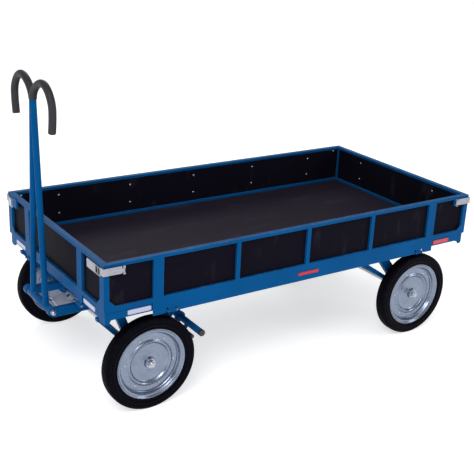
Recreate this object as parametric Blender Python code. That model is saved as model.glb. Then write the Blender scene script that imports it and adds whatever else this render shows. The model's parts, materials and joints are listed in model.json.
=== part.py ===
"""Platform trolley: a flat deck with four hinged drop sides on a steered front bogie and a fixed rear axle.

Metres, +Z up. +X points to the rear, the drawbar is at the front (-X). The origin is on the floor, under
the middle of the whole trolley's box.
"""

from math import atan2, cos, pi, radians, sin

import bmesh
import bpy
from mathutils import Matrix, Vector

# ---------------------------------------------------------------- driving dimensions

GAP = 0.0003  # air left between pieces that touch

DECK_X = 0.03625  # middle of the deck, measured from the origin
LENGTH = 1.96
WIDTH = 0.995
SIDE_TOP = 0.6855
SIDE_BOTTOM = 0.488
SIDE_DEPTH = 0.025

FRAME_BOTTOM = 0.450
FRAME_TOP = 0.4875
FRAME_INSET = 0.006  # how far the base frame stands back from the sides' outer faces
RAIL = 0.020  # thickness of the base frame's upright flange
LEDGE = 0.020  # width of the ledge that carries the board
CROSS_BOTTOM = 0.462
BOARD_THICKNESS = 0.0125
BOARD_TOP = 0.4925

TOP_RAIL = 0.0135
BOTTOM_RAIL = 0.0175
STAKE_DEPTH = 0.012
FOOT_DEPTH = 0.005
FOOT_BOTTOM = 0.430
WIDE_STAKE = 0.045
THIN_STAKE = 0.018
PANEL_THICKNESS = 0.009

HINGE_Z = 0.4365
HINGE_OUT = 0.001  # how far the hinge axis lies outside the sides' outer faces
PIN_RADIUS = 0.003
BARREL_RADIUS = 0.006
BARREL_LENGTH = 0.030
LUG_THICKNESS = 0.004

FRONT_AXLE_X = -0.76
REAR_AXLE_X = 0.70
WHEEL_RADIUS = 0.205
WHEEL_WIDTH = 0.055
WHEEL_Y = 0.4575
RIM_RADIUS = 0.155
WHEEL_SIDES = 28
AXLE_RADIUS = 0.0125
BORE_RADIUS = 0.0130
AXLE_END = 0.4725
STRUT_Y = 0.40

BOGIE_TOP = 0.425
BOGIE_BEAM = 0.014
RING_OUTER = 0.170
RING_INNER = 0.125
KINGPIN_RADIUS = 0.012

DRAWBAR_X = -1.04
DRAWBAR_Z = 0.357
CROSSBAR_RADIUS = 0.0175
CROSSBAR_HALF = 0.1085
TUBE_RADIUS = 0.0132
TUBE_FOOT_Y = 0.070
TUBE_TOP_Z = 1.222
BOLT_RADIUS = 0.008
GRIP_RADIUS = 0.0155
TROLLEY_HEIGHT = 1.316

ARM_Y = 0.125
ARM_WIDTH = 0.030
ARM_HEIGHT = 0.036
ARM_Z = 0.350

BRAKE_X = -0.525
BRAKE_Z = 0.290
BRAKE_RADIUS = 0.0143
BRAKE_HALF = 0.475
SHOE_X = -0.5538
SHOE_Z = 0.267
SHOE_RADIUS = 0.0095
SHOE_HALF = 0.440

LATCH_LENGTH = 0.084
LATCH_LOW = 0.643
LATCH_HIGH = 0.668
LATCH_AXIS_OUT = 0.005


# ---------------------------------------------------------------- scene and materials


def clear_scene():
    for old in list(bpy.data.objects):
        bpy.data.objects.remove(old, do_unlink=True)


def make_material(name, colour, roughness, metallic=0.0):
    material = bpy.data.materials.new(name)
    material.use_nodes = True
    shader = material.node_tree.nodes["Principled BSDF"]
    shader.inputs["Base Color"].default_value = (*colour, 1.0)
    shader.inputs["Roughness"].default_value = roughness
    shader.inputs["Metallic"].default_value = metallic
    material.diffuse_color = (*colour, 1.0)
    return material


# ---------------------------------------------------------------- solids


def solid(bm):
    """A mesh from a bmesh of one closed body, faces turned outwards."""
    bmesh.ops.recalc_face_normals(bm, faces=bm.faces)
    mesh = bpy.data.meshes.new("solid")
    bm.to_mesh(mesh)
    bm.free()
    return mesh


def box(low, high, chamfer=0.0):
    """An upright box between two corners, its edges chamfered if asked."""
    low, high = Vector(low), Vector(high)
    bm = bmesh.new()
    size = Matrix.Diagonal((*(high - low), 1.0))
    bmesh.ops.create_cube(bm, size=1.0, matrix=Matrix.Translation((low + high) / 2) @ size)
    if chamfer:
        bmesh.ops.bevel(bm, geom=bm.edges[:], offset=chamfer, segments=1, affect="EDGES")
    return solid(bm)


def across(low, high, half_y, y=0.0):
    """A box given by its x and z limits, which reaches half_y to each side of y."""
    return box((low[0], y - half_y, low[1]), (high[0], y + half_y, high[1]))


def rod(start, end, radius, sides):
    """A round bar between two points."""
    start, end = Vector(start), Vector(end)
    along = end - start
    turn = along.to_track_quat("Z", "Y").to_matrix().to_4x4()
    bm = bmesh.new()
    bmesh.ops.create_cone(
        bm,
        cap_ends=True,
        segments=sides,
        radius1=radius,
        radius2=radius,
        depth=along.length,
        matrix=Matrix.Translation((start + end) / 2) @ turn,
    )
    return solid(bm)


def flat_bar(start, end, width, thickness):
    """A bar of rectangular section in the XZ plane between two points, width measured in that plane."""
    start, end = Vector(start), Vector(end)
    along = end - start
    turn = Matrix.Rotation(-atan2(along.z, along.x), 4, "Y")
    size = Matrix.Diagonal((along.length, thickness, width, 1.0))
    bm = bmesh.new()
    bmesh.ops.create_cube(bm, size=1.0, matrix=Matrix.Translation((start + end) / 2) @ turn @ size)
    return solid(bm)


def prism(outline, low, high, axis):
    """A flat outline pushed from low to high along the X, Y or Z axis."""
    bm = bmesh.new()
    place = {
        "X": lambda a, b, depth: (depth, a, b),
        "Y": lambda a, b, depth: (a, depth, b),
        "Z": lambda a, b, depth: (a, b, depth),
    }[axis]
    face = bm.faces.new([bm.verts.new(place(a, b, low)) for a, b in outline])
    pushed = bmesh.ops.extrude_face_region(bm, geom=[face])["geom"]
    shift = Vector(place(0.0, 0.0, high)) - Vector(place(0.0, 0.0, low))
    bmesh.ops.translate(bm, vec=shift, verts=[v for v in pushed if isinstance(v, bmesh.types.BMVert)])
    return solid(bm)


def turned(outline, sides, axis="Y"):
    """A ring turned about an axis through the origin. The outline is a closed loop of (radius, height)."""
    bm = bmesh.new()
    rings = []
    for step in range(sides):
        angle = 2 * pi * step / sides
        c, s = cos(angle), sin(angle)
        if axis == "Y":
            rings.append([bm.verts.new((r * c, h, r * s)) for r, h in outline])
        else:
            rings.append([bm.verts.new((r * c, r * s, h)) for r, h in outline])
    count = len(outline)
    for step in range(sides):
        here, after = rings[step], rings[(step + 1) % sides]
        for i in range(count):
            j = (i + 1) % count
            bm.faces.new((here[i], here[j], after[j], after[i]))
    return solid(bm)


def shifted(mesh, offset):
    mesh.transform(Matrix.Translation(offset))
    return mesh


def combine(first, others, operation):
    """Joins meshes to the first, or cuts them from it, in one step, and returns the new mesh."""
    body = bpy.data.objects.new("body", first)
    bpy.context.scene.collection.objects.link(body)
    tools = bpy.data.collections.new("tools")
    bpy.context.scene.collection.children.link(tools)
    helpers = [bpy.data.objects.new("helper", other) for other in others]
    for helper in helpers:
        tools.objects.link(helper)
    step = body.modifiers.new("step", "BOOLEAN")
    step.operation = operation
    step.solver = "EXACT"
    step.operand_type = "COLLECTION"
    step.collection = tools
    bpy.context.view_layer.update()
    result = bpy.data.meshes.new_from_object(body.evaluated_get(bpy.context.evaluated_depsgraph_get()))
    for used in [body, *helpers]:
        bpy.data.objects.remove(used, do_unlink=True)
    bpy.data.collections.remove(tools)
    return result


def weld(*meshes):
    return combine(meshes[0], meshes[1:], "UNION")


def cut(mesh, *cutters):
    return combine(mesh, cutters, "DIFFERENCE")


# ---------------------------------------------------------------- objects


def pivot(name, place, turn=0.0, parent=None):
    """An empty on a joint's axis, for the moving pieces to hang from."""
    empty = bpy.data.objects.new(name, None)
    empty.empty_display_size = 0.05
    bpy.context.scene.collection.objects.link(empty)
    empty.parent = parent
    empty.location = Vector(place) - (parent.matrix_world.translation if parent else Vector())
    empty.rotation_euler.z = turn
    bpy.context.view_layer.update()
    return empty


def add(name, mesh, material, parent=None, smooth=None, rotation=0.0):
    """One named part. Its mesh is given about its parent's origin, or about the deck's middle."""
    mesh.name = name
    part = bpy.data.objects.new(name, mesh)
    bpy.context.scene.collection.objects.link(part)
    mesh.materials.clear()
    mesh.materials.append(material)
    if smooth:
        mesh.shade_smooth()
        mesh.set_sharp_from_angle(angle=radians(smooth))
    part.parent = parent
    part.rotation_euler.z = rotation
    return part


def about(mesh, empty):
    """Moves a mesh drawn in deck coordinates so that it hangs from an empty."""
    return shifted(mesh, -(empty.matrix_world.translation - Vector((DECK_X, 0, 0))))


# ---------------------------------------------------------------- base frame and deck


def hinge_lugs(centre):
    """The two ears of one side hinge, in a side's own axes: x along it, -y outwards, z up."""
    ears = []
    for side in (-1, 1):
        near = centre + side * (BARREL_LENGTH / 2 + 0.0005)
        far = near + side * LUG_THICKNESS
        low, high = min(near, far), max(near, far)
        tongue = box((low, -0.006, HINGE_Z - 0.006), (high, 0.024, HINGE_Z + 0.006))
        riser = box((low, 0.012, HINGE_Z), (high, 0.023, FRAME_BOTTOM + 0.006))
        ears.append(weld(tongue, riser))
    return ears


def hinge_holes(centre):
    reach = BARREL_LENGTH / 2 + LUG_THICKNESS + 0.004
    start = (centre - reach, 0.0, HINGE_Z)
    return rod(start, (centre + reach, 0.0, HINGE_Z), PIN_RADIUS + GAP, 8)


def on_side(mesh, side):
    """Carries a mesh from a side's own axes, with y zero on its hinge axis, to the deck's."""
    turn, reach = SIDES[side][0], SIDES[side][1]
    mesh.transform(Matrix.Rotation(turn, 4, "Z") @ Matrix.Translation((0, -reach - HINGE_OUT, 0)))
    return mesh


def bay(x, width=0.040, low=CROSS_BOTTOM):
    """A cross member under the board."""
    top = BOARD_TOP - BOARD_THICKNESS - GAP
    return across((x - width / 2, low), (x + width / 2, top), WIDTH / 2 - FRAME_INSET - RAIL / 2)


def rear_struts(y):
    """The bars that carry one end of the rear axle, and the boss that they meet at."""
    hub = (REAR_AXLE_X, y, WHEEL_RADIUS)
    top = FRAME_BOTTOM + 0.012
    return [
        flat_bar((0.49, y, top), (0.692, y, WHEEL_RADIUS), 0.046, 0.024),
        flat_bar((0.31, y, top), hub, 0.020, 0.016),
        flat_bar((0.80, y, top), hub, 0.030, 0.016),
        rod((REAR_AXLE_X, y - 0.017, WHEEL_RADIUS), (REAR_AXLE_X, y + 0.017, WHEEL_RADIUS), 0.030, 14),
    ]


def axle_bore(x, y):
    return rod((x, y - 0.03, WHEEL_RADIUS), (x, y + 0.03, WHEEL_RADIUS), BORE_RADIUS, 16)


def corner_foot(x, y, out_x, out_y):
    """Two short plates that hang below one corner of the base frame, x and y being -1 or 1."""
    top, low = FRAME_BOTTOM + 0.004, FRAME_BOTTOM - 0.018
    end = [(0.0, top), (0.0, low + 0.008), (0.008, low), (0.034, low), (0.070, top)]
    side = [(0.0, top), (0.0, low + 0.008), (0.007, low), (0.018, low), (0.030, top)]
    end_outline = [(y * (out_y - run), z) for run, z in end]
    side_outline = [(x * (out_x - run), z) for run, z in side]
    end_faces = sorted((x * (out_x - 0.006), x * out_x))
    side_faces = sorted((y * (out_y - 0.006), y * out_y))
    return [prism(end_outline, *end_faces, "X"), prism(side_outline, *side_faces, "Y")]


def base_frame():
    out_x, out_y = LENGTH / 2 - FRAME_INSET, WIDTH / 2 - FRAME_INSET
    ledge_top = BOARD_TOP - BOARD_THICKNESS - GAP
    pieces = []
    for side in (-1, 1):
        y = side * (out_y - RAIL / 2)
        pieces.append(box((-out_x, y - RAIL / 2, FRAME_BOTTOM), (out_x, y + RAIL / 2, FRAME_TOP)))
        y = side * (out_y - RAIL - LEDGE / 2 + 0.001)
        pieces.append(box((-out_x + 0.01, y - LEDGE / 2, FRAME_BOTTOM), (out_x - 0.01, y + LEDGE / 2, ledge_top)))
        x = side * (out_x - RAIL / 2)
        pieces.append(box((x - RAIL / 2, -out_y + 0.01, FRAME_BOTTOM), (x + RAIL / 2, out_y - 0.01, FRAME_TOP)))
        x = side * (out_x - RAIL - LEDGE / 2 + 0.001)
        pieces.append(box((x - LEDGE / 2, -out_y + 0.03, FRAME_BOTTOM), (x + LEDGE / 2, out_y - 0.03, ledge_top)))
    for x in (-0.58, -0.13, 0.31, 0.49, 0.80):
        pieces.append(bay(x))
    for y in (-0.148, 0.148):
        low = (-out_x + 0.03, y - 0.02, CROSS_BOTTOM)
        pieces.append(box(low, (-0.57, y + 0.02, ledge_top)))
    centre = across((FRONT_AXLE_X - 0.05, CROSS_BOTTOM), (FRONT_AXLE_X + 0.05, ledge_top), 0.17)
    pieces.append(centre)
    for y in (-STRUT_Y, STRUT_Y):
        pieces += rear_struts(y)
    for x in (-1, 1):
        for y in (-1, 1):
            pieces += corner_foot(x, y, out_x, out_y)
    holes = [axle_bore(REAR_AXLE_X, -STRUT_Y), axle_bore(REAR_AXLE_X, STRUT_Y)]
    pin = (FRONT_AXLE_X, 0, CROSS_BOTTOM - 0.01)
    holes.append(rod(pin, (FRONT_AXLE_X, 0, FRAME_TOP), KINGPIN_RADIUS + 0.0006, 16))
    for side, (_, _, _, centres) in SIDES.items():
        for centre in centres:
            pieces += [on_side(ear, side) for ear in hinge_lugs(centre)]
            holes.append(on_side(hinge_holes(centre), side))
    return cut(weld(*pieces), *holes)


def deck_board():
    reach_x = LENGTH / 2 - FRAME_INSET - RAIL - 0.001
    reach_y = WIDTH / 2 - FRAME_INSET - RAIL - 0.001
    return box((-reach_x, -reach_y, BOARD_TOP - BOARD_THICKNESS), (reach_x, reach_y, BOARD_TOP))


def slew_ring(low, high, lip):
    """One race of the turntable: a flat ring with a step on the side given by lip."""
    middle = (low + high) / 2
    wide, narrow = RING_OUTER, RING_OUTER - 0.008
    outline = [
        (RING_INNER, low),
        (wide if lip < 0 else narrow, low),
        (wide if lip < 0 else narrow, middle),
        (narrow if lip < 0 else wide, middle),
        (narrow if lip < 0 else wide, high),
        (RING_INNER, high),
    ]
    return turned(outline, 28, "Z")


def axle(x):
    """A solid axle bar, its ends chamfered."""
    bm = bmesh.new()
    bm.from_mesh(rod((x, -AXLE_END, WHEEL_RADIUS), (x, AXLE_END, WHEEL_RADIUS), AXLE_RADIUS, 14))
    ends = [e for e in bm.edges if all(abs(abs(v.co.y) - AXLE_END) < 0.0001 for v in e.verts)]
    bmesh.ops.bevel(bm, geom=ends, offset=0.0015, segments=1, affect="EDGES")
    return solid(bm)


# ---------------------------------------------------------------- drop sides


def drop_side(half, post, stakes, thin_stakes, apron_half, apron_bottom, hinges, latches, keepers=()):
    """One side's welded steel frame, about its hinge axis: x along it, -y outwards, z up."""
    face = HINGE_OUT
    back = face + SIDE_DEPTH
    pieces = [
        box((-half, face, SIDE_TOP - TOP_RAIL), (half, back, SIDE_TOP), 0.0012),
        box((-half, face, SIDE_BOTTOM), (half, back, SIDE_BOTTOM + BOTTOM_RAIL)),
        box((-apron_half, face, apron_bottom), (apron_half, face + FOOT_DEPTH, SIDE_BOTTOM + 0.01)),
    ]
    for side in (-1, 1):
        outer, inner = side * half, side * (half - post)
        low, high = min(outer, inner), max(outer, inner)
        pieces.append(box((low, face, SIDE_BOTTOM + 0.001), (high, back, SIDE_TOP - 0.002)))
        corner = inner - side * 0.002
        toe = inner - side * 0.030
        rise = SIDE_BOTTOM + BOTTOM_RAIL
        outline = [(corner + side * 0.004, rise - 0.003), (toe, rise - 0.003), (toe, rise)]
        outline += [(corner, rise + 0.028), (corner + side * 0.004, rise + 0.028)]
        pieces.append(prism(outline, face, face + 0.003, "Y"))
    for x in stakes:
        high_z = SIDE_TOP - TOP_RAIL + 0.003
        low_x, high_x = x - WIDE_STAKE / 2, x + WIDE_STAKE / 2
        pieces.append(box((low_x, face, SIDE_BOTTOM + 0.002), (high_x, face + STAKE_DEPTH, high_z)))
        pieces.append(box((low_x, face, FOOT_BOTTOM), (high_x, face + FOOT_DEPTH, SIDE_BOTTOM + 0.012)))
    for x in thin_stakes:
        low = (x - THIN_STAKE / 2, face, SIDE_BOTTOM + 0.005)
        pieces.append(box(low, (x + THIN_STAKE / 2, face + STAKE_DEPTH, SIDE_TOP - TOP_RAIL + 0.003)))
    for x in latches:
        pieces += latch_bracket(x)
    for x in keepers:
        pieces.append(box((x - 0.025, face - 0.005, 0.633), (x + 0.025, face + 0.006, SIDE_TOP - 0.006), 0.0015))
    body = weld(*pieces)
    notches = []
    for x in hinges:
        reach = BARREL_LENGTH / 2 + LUG_THICKNESS + 0.006
        notches.append(box((x - reach, -0.01, 0.40), (x + reach, 0.02, HINGE_Z + 0.016)))
    body = cut(body, *notches)
    barrels = []
    for x in hinges:
        start, end = (x - BARREL_LENGTH / 2, 0, HINGE_Z), (x + BARREL_LENGTH / 2, 0, HINGE_Z)
        barrels.append(rod(start, end, BARREL_RADIUS, 10))
        strap_low = (x - BARREL_LENGTH / 2, face, HINGE_Z)
        barrels.append(box(strap_low, (x + BARREL_LENGTH / 2, face + 0.004, HINGE_Z + 0.03)))
    body = weld(body, *barrels)
    holes = [hinge_holes(x) for x in hinges] + [latch_hole(x) for x in latches]
    return shifted(cut(body, *holes), (0, 0, -HINGE_Z))


def latch_bracket(x):
    """The tab under the top rail and the two ears that hold one latch lever, at its pivot's x."""
    face = HINGE_OUT
    tab = box((x - 0.008, face, LATCH_LOW - 0.003), (x + 0.008, face + 0.009, SIDE_TOP - 0.005))
    pieces = [tab]
    for low, high in ((LATCH_LOW - 0.002, LATCH_LOW + 0.003), (LATCH_HIGH - 0.003, LATCH_HIGH + 0.002)):
        pieces.append(box((x - 0.005, face - LATCH_AXIS_OUT - 0.0045, low), (x + 0.005, face + 0.003, high)))
    return pieces


def latch_hole(x):
    y = HINGE_OUT - LATCH_AXIS_OUT
    return rod((x, y, LATCH_LOW - 0.006), (x, y, LATCH_HIGH + 0.0035), 0.0022 + GAP, 8)


def side_panel(half, post):
    """The film-faced plywood set in a side's frame, about the side's hinge axis."""
    low_y = HINGE_OUT + STAKE_DEPTH + GAP
    low = (-half + post + GAP, low_y, SIDE_BOTTOM + BOTTOM_RAIL + GAP)
    high = (half - post - GAP, low_y + PANEL_THICKNESS, SIDE_TOP - TOP_RAIL - GAP)
    return shifted(box(low, high), (0, 0, -HINGE_Z))


def hinge_pin():
    """A headed pin along x, its middle at the origin."""
    reach = BARREL_LENGTH / 2 + LUG_THICKNESS + 0.0015
    shank = rod((-reach, 0, 0), (reach, 0, 0), PIN_RADIUS, 8)
    head = rod((reach - 0.0003, 0, 0), (reach + 0.003, 0, 0), 0.005, 10)
    return weld(shank, head)


def latch_lever(hand):
    """A corner lever about its vertical pivot. Its plate runs to the corner, hand being -1 or 1 along x."""
    knuckle_low, knuckle_high = LATCH_LOW + 0.0035, LATCH_HIGH - 0.0035
    tip = hand * (LATCH_LENGTH + 0.0045)
    near, far = sorted((hand * 0.001, tip))
    plate = box((near, -0.0020, knuckle_low), (far, 0.0010, knuckle_high))
    wrap_near, wrap_far = sorted((tip, tip - hand * 0.003))
    wrap = box((wrap_near, -0.0020, knuckle_low), (wrap_far, 0.0225, knuckle_high))
    knuckle = rod((0, 0, knuckle_low), (0, 0, knuckle_high), 0.004, 10)
    trunnion = rod((0, 0, LATCH_LOW - 0.0035), (0, 0, LATCH_HIGH + 0.0015), 0.0022, 8)
    return weld(plate, wrap, knuckle, trunnion)


def short_strike(hand):
    """The short plate at the front far corner, about the wall's hinge axis. hand is -1 or 1."""
    face = HINGE_OUT - GAP
    inner, outer = sorted((hand * 0.440, hand * 0.4775))
    low, high = LATCH_LOW - 0.018, LATCH_HIGH - 0.0005
    plate = box((inner, face - 0.0032, low), (outer, face, high))
    spacer = sorted((hand * 0.446, hand * 0.470))
    block = box((spacer[0], face - 0.0070, low + 0.006), (spacer[1], face - 0.0020, high - 0.004))
    return shifted(weld(plate, block), (0, 0, -HINGE_Z))


def latch_strike(hand):
    """The pressed plate beside a corner on an end wall, about that wall's hinge axis. hand is -1 or 1."""
    face = HINGE_OUT - GAP
    inner, outer = sorted((hand * 0.356, hand * 0.4775))
    low, high = LATCH_LOW - 0.003, LATCH_HIGH - 0.0005
    plate = box((inner, face - 0.0032, low), (outer, face, high))
    spacer = sorted((hand * 0.385, hand * 0.425))
    block = box((spacer[0], face - 0.001, low + 0.003), (spacer[1], face + 0.0118, high - 0.002))
    window = sorted((hand * 0.432, hand * 0.468))
    opening = box((window[0], face - 0.01, low + 0.005), (window[1], face + 0.005, high - 0.004))
    hook = sorted((hand * 0.444, hand * 0.450))
    tongue = box((hook[0], face - 0.0030, low + 0.002), (hook[1], face - 0.0008, high - 0.002))
    return shifted(weld(cut(weld(plate, block), opening), tongue), (0, 0, -HINGE_Z))


# ---------------------------------------------------------------- bogie, brake and drawbar


def bogie_struts(y):
    """The bars that carry one end of the front axle, and the boss that they meet at."""
    hub = (FRONT_AXLE_X, y, WHEEL_RADIUS)
    top = BOGIE_TOP - BOGIE_BEAM / 2
    return [
        flat_bar((-0.957, y, top), hub, 0.018, 0.016),
        flat_bar((-0.868, y, top), (-0.782, y, WHEEL_RADIUS), 0.036, 0.024),
        flat_bar((-0.600, y, top), hub, 0.026, 0.016),
        rod((FRONT_AXLE_X, y - 0.017, WHEEL_RADIUS), (FRONT_AXLE_X, y + 0.017, WHEEL_RADIUS), 0.030, 14),
    ]


def bogie_frame():
    low = BOGIE_TOP - BOGIE_BEAM
    pieces = [across((-0.611, low), (-0.589, BOGIE_TOP), STRUT_Y + 0.010)]
    pieces.append(across((-0.886, low), (-0.846, BOGIE_TOP), STRUT_Y + 0.012))
    pieces.append(across((FRONT_AXLE_X - 0.045, low), (FRONT_AXLE_X + 0.045, BOGIE_TOP), 0.21))
    arm_low, arm_high = ARM_Z - ARM_HEIGHT / 2, ARM_Z + ARM_HEIGHT / 2
    for side in (-1, 1):
        y = side * ARM_Y
        half = ARM_WIDTH / 2
        rail_low = (-0.900, y - half, low - 0.014)
        pieces.append(box(rail_low, (-0.595, y + half, BOGIE_TOP - 0.001)))
        pieces.append(box((DRAWBAR_X, y - half, arm_low), (-0.620, y + half, arm_high), 0.002))
        nose = (DRAWBAR_X, y - half + 0.0005, DRAWBAR_Z)
        pieces.append(rod(nose, (DRAWBAR_X, y + half - 0.0005, DRAWBAR_Z), 0.0195, 14))
        for x in (-0.885, -0.640):
            pieces.append(box((x - 0.015, y - 0.012, ARM_Z), (x + 0.015, y + 0.012, low)))
        pieces.append(across((-0.966, low), (-0.850, BOGIE_TOP), 0.011, side * STRUT_Y))
        pieces += bogie_struts(side * STRUT_Y)
        hanger_y = side * 0.300
        pieces.append(flat_bar((-0.606, hanger_y, BOGIE_TOP - 0.012), (BRAKE_X, hanger_y, BRAKE_Z), 0.032, 0.008))
        pieces.append(rod((BRAKE_X, hanger_y - 0.006, BRAKE_Z), (BRAKE_X, hanger_y + 0.006, BRAKE_Z), 0.024, 14))
    holes = [axle_bore(FRONT_AXLE_X, -STRUT_Y), axle_bore(FRONT_AXLE_X, STRUT_Y)]
    holes.append(rod((DRAWBAR_X, -0.2, DRAWBAR_Z), (DRAWBAR_X, 0.2, DRAWBAR_Z), BOLT_RADIUS + 0.0005, 16))
    holes.append(rod((BRAKE_X, -0.35, BRAKE_Z), (BRAKE_X, 0.35, BRAKE_Z), BRAKE_RADIUS + 0.0005, 16))
    centre = (FRONT_AXLE_X, 0, low - 0.01)
    holes.append(rod(centre, (FRONT_AXLE_X, 0, BOGIE_TOP + 0.01), KINGPIN_RADIUS + GAP, 16))
    return cut(weld(*pieces), *holes)


def kingpin():
    low = BOGIE_TOP - BOGIE_BEAM - GAP
    top = BOARD_TOP - BOARD_THICKNESS - 0.001
    head = rod((FRONT_AXLE_X, 0, low - 0.012), (FRONT_AXLE_X, 0, low), 0.020, 6)
    return weld(head, rod((FRONT_AXLE_X, 0, low - 0.004), (FRONT_AXLE_X, 0, top), KINGPIN_RADIUS, 16))


def lock_plate():
    """The bent foot plate that hangs inside the bogie's near arm."""
    inner = -ARM_Y + ARM_WIDTH / 2 + GAP
    outline = [(-0.998, inner), (-0.912, inner), (-0.904, -0.062), (-0.930, -0.048)]
    outline += [(-0.912, 0.030), (-0.984, 0.018)]
    tread = prism(outline, ARM_Z - 0.004, ARM_Z, "Z")
    wall = box((-0.996, inner, ARM_Z - 0.018), (-0.914, inner + 0.004, ARM_Z - 0.001))
    return weld(tread, wall)


def brake_bar():
    """The brake shaft, its two cranks and the bar that they press on the front tyres."""
    shaft = rod((BRAKE_X, -BRAKE_HALF, BRAKE_Z), (BRAKE_X, BRAKE_HALF, BRAKE_Z), BRAKE_RADIUS, 16)
    shoe = rod((SHOE_X, -SHOE_HALF, SHOE_Z), (SHOE_X, SHOE_HALF, SHOE_Z), SHOE_RADIUS, 12)
    pieces = [shaft, shoe]
    for y in (-0.375, 0.375):
        pieces.append(flat_bar((BRAKE_X, y, BRAKE_Z), (SHOE_X, y, SHOE_Z), 0.018, 0.008))
    return weld(*pieces)


def end_cap(x, z, radius, start, end):
    """A plastic cap on the end of a bar, its outer rim chamfered."""
    bm = bmesh.new()
    bm.from_mesh(rod((x, start, z), (x, end, z), radius, 12))
    rim = [e for e in bm.edges if all(abs(v.co.y - end) < 0.0001 for v in e.verts)]
    bmesh.ops.bevel(bm, geom=rim, offset=0.003, segments=1, affect="EDGES")
    return solid(bm)


def drawbar_frame():
    """Crossbar and two tubes that lean together, with a short collar where they meet."""
    ends = (-CROSSBAR_HALF, CROSSBAR_HALF)
    crossbar = rod((DRAWBAR_X, ends[0], DRAWBAR_Z), (DRAWBAR_X, ends[1], DRAWBAR_Z), CROSSBAR_RADIUS, 16)
    pieces = [crossbar]
    for side in (-1, 1):
        foot = (DRAWBAR_X, side * TUBE_FOOT_Y, DRAWBAR_Z)
        pieces.append(rod(foot, (DRAWBAR_X, side * 0.003, TUBE_TOP_Z - 0.004), TUBE_RADIUS, 16))
    collar_low = (DRAWBAR_X, 0, TUBE_TOP_Z - 0.030)
    pieces.append(rod(collar_low, (DRAWBAR_X, 0, TUBE_TOP_Z), TUBE_RADIUS + 0.0015, 16))
    bore = rod((DRAWBAR_X, -0.2, DRAWBAR_Z), (DRAWBAR_X, 0.2, DRAWBAR_Z), BOLT_RADIUS + 0.0005, 16)
    return cut(weld(*pieces), bore)


def pivot_bolt():
    """The long bolt through both arms and the crossbar, a washer and a hexagon at each end."""
    reach = ARM_Y + ARM_WIDTH / 2
    pieces = [rod((DRAWBAR_X, -reach - 0.018, DRAWBAR_Z), (DRAWBAR_X, reach + 0.014, DRAWBAR_Z), BOLT_RADIUS, 12)]
    for side in (-1, 1):
        washer = side * (reach + GAP)
        nut = side * (reach + 0.0025)
        end = side * (reach + 0.012)
        pieces.append(rod((DRAWBAR_X, washer, DRAWBAR_Z), (DRAWBAR_X, nut, DRAWBAR_Z), 0.016, 12))
        start = side * (reach + 0.002)
        pieces.append(rod((DRAWBAR_X, start, DRAWBAR_Z), (DRAWBAR_X, end, DRAWBAR_Z), 0.0135, 6))
    return weld(*pieces)


def grip(side):
    """One ram's-horn hand grip: a round bar led up, over and down along a smooth curve."""
    path = bpy.data.curves.new("grip path", "CURVE")
    path.dimensions = "3D"
    path.resolution_u = 7
    path.bevel_depth = GRIP_RADIUS
    path.bevel_resolution = 2
    path.use_fill_caps = True
    spline = path.splines.new("BEZIER")
    crown = TROLLEY_HEIGHT - GRIP_RADIUS
    knots = [  # y, z, direction of travel in degrees from +y, handle length
        (0.0035, TUBE_TOP_Z + GAP, 90, 0.035),
        (0.106, crown, 0, 0.050),
        (0.1945, 1.212, -90, 0.038),
        (0.185, 1.1245, -99, 0.030),
    ]
    spline.bezier_points.add(len(knots) - 1)
    for point, (y, z, heading, reach) in zip(spline.bezier_points, knots, strict=True):
        step = Vector((0, side * cos(radians(heading)), sin(radians(heading)))) * reach
        point.co = Vector((DRAWBAR_X, side * y, z))
        point.handle_left_type = point.handle_right_type = "FREE"
        point.handle_left = point.co - step
        point.handle_right = point.co + step
    guide = bpy.data.objects.new("grip guide", path)
    bpy.context.scene.collection.objects.link(guide)
    bpy.context.view_layer.update()
    mesh = bpy.data.meshes.new_from_object(guide.evaluated_get(bpy.context.evaluated_depsgraph_get()))
    bpy.data.objects.remove(guide, do_unlink=True)
    bm = bmesh.new()
    bm.from_mesh(mesh)
    bmesh.ops.remove_doubles(bm, verts=bm.verts, dist=0.00001)
    mesh = solid(bm)
    edge = -side * 0.1
    low, high = sorted((edge, side * GAP / 2))
    half_space = box((DRAWBAR_X - 0.1, low, 1.1), (DRAWBAR_X + 0.1, high, 1.4))
    return cut(mesh, half_space)


# ---------------------------------------------------------------- wheels


def tyre():
    """A solid tyre about the wheel's centre, turned about y."""
    outer, bead, half = WHEEL_RADIUS, RIM_RADIUS + GAP, WHEEL_WIDTH / 2
    outline = [
        (bead, -half + 0.003),
        (outer - 0.017, -half),
        (outer - 0.005, -half + 0.006),
        (outer, -half + 0.017),
        (outer, half - 0.017),
        (outer - 0.005, half - 0.006),
        (outer - 0.017, half),
        (bead, half - 0.003),
    ]
    return turned(outline, WHEEL_SIDES)


def rim(outward):
    """A pressed steel rim about the wheel's centre. outward is the side that its dish shows on."""
    half = WHEEL_WIDTH / 2
    outline = [
        (BORE_RADIUS, -half + 0.002),
        (0.024, -half + 0.002),
        (0.026, 0.004),
        (0.138, 0.008),
        (0.150, -half + 0.008),
        (RIM_RADIUS, -half + 0.008),
        (RIM_RADIUS, half - 0.002),
        (0.142, 0.014),
        (0.026, 0.009),
        (0.024, half - 0.0135),
        (BORE_RADIUS, half - 0.0135),
    ]
    return turned([(r, outward * h) for r, h in outline], WHEEL_SIDES)


def axle_nut(outward):
    """Washer, hexagon and threaded end on an axle, y measured from the middle of the trolley."""
    y = outward * AXLE_END
    washer = rod((0, y + outward * GAP, 0), (0, y + outward * 0.0030, 0), 0.021, 14)
    hexagon = rod((0, y + outward * 0.0028, 0), (0, y + outward * 0.0150, 0), 0.0165, 6)
    stud = rod((0, y + outward * 0.0140, 0), (0, y + outward * 0.0230, 0), 0.0085, 10)
    return weld(washer, hexagon, stud)


# ---------------------------------------------------------------- assembly

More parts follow.
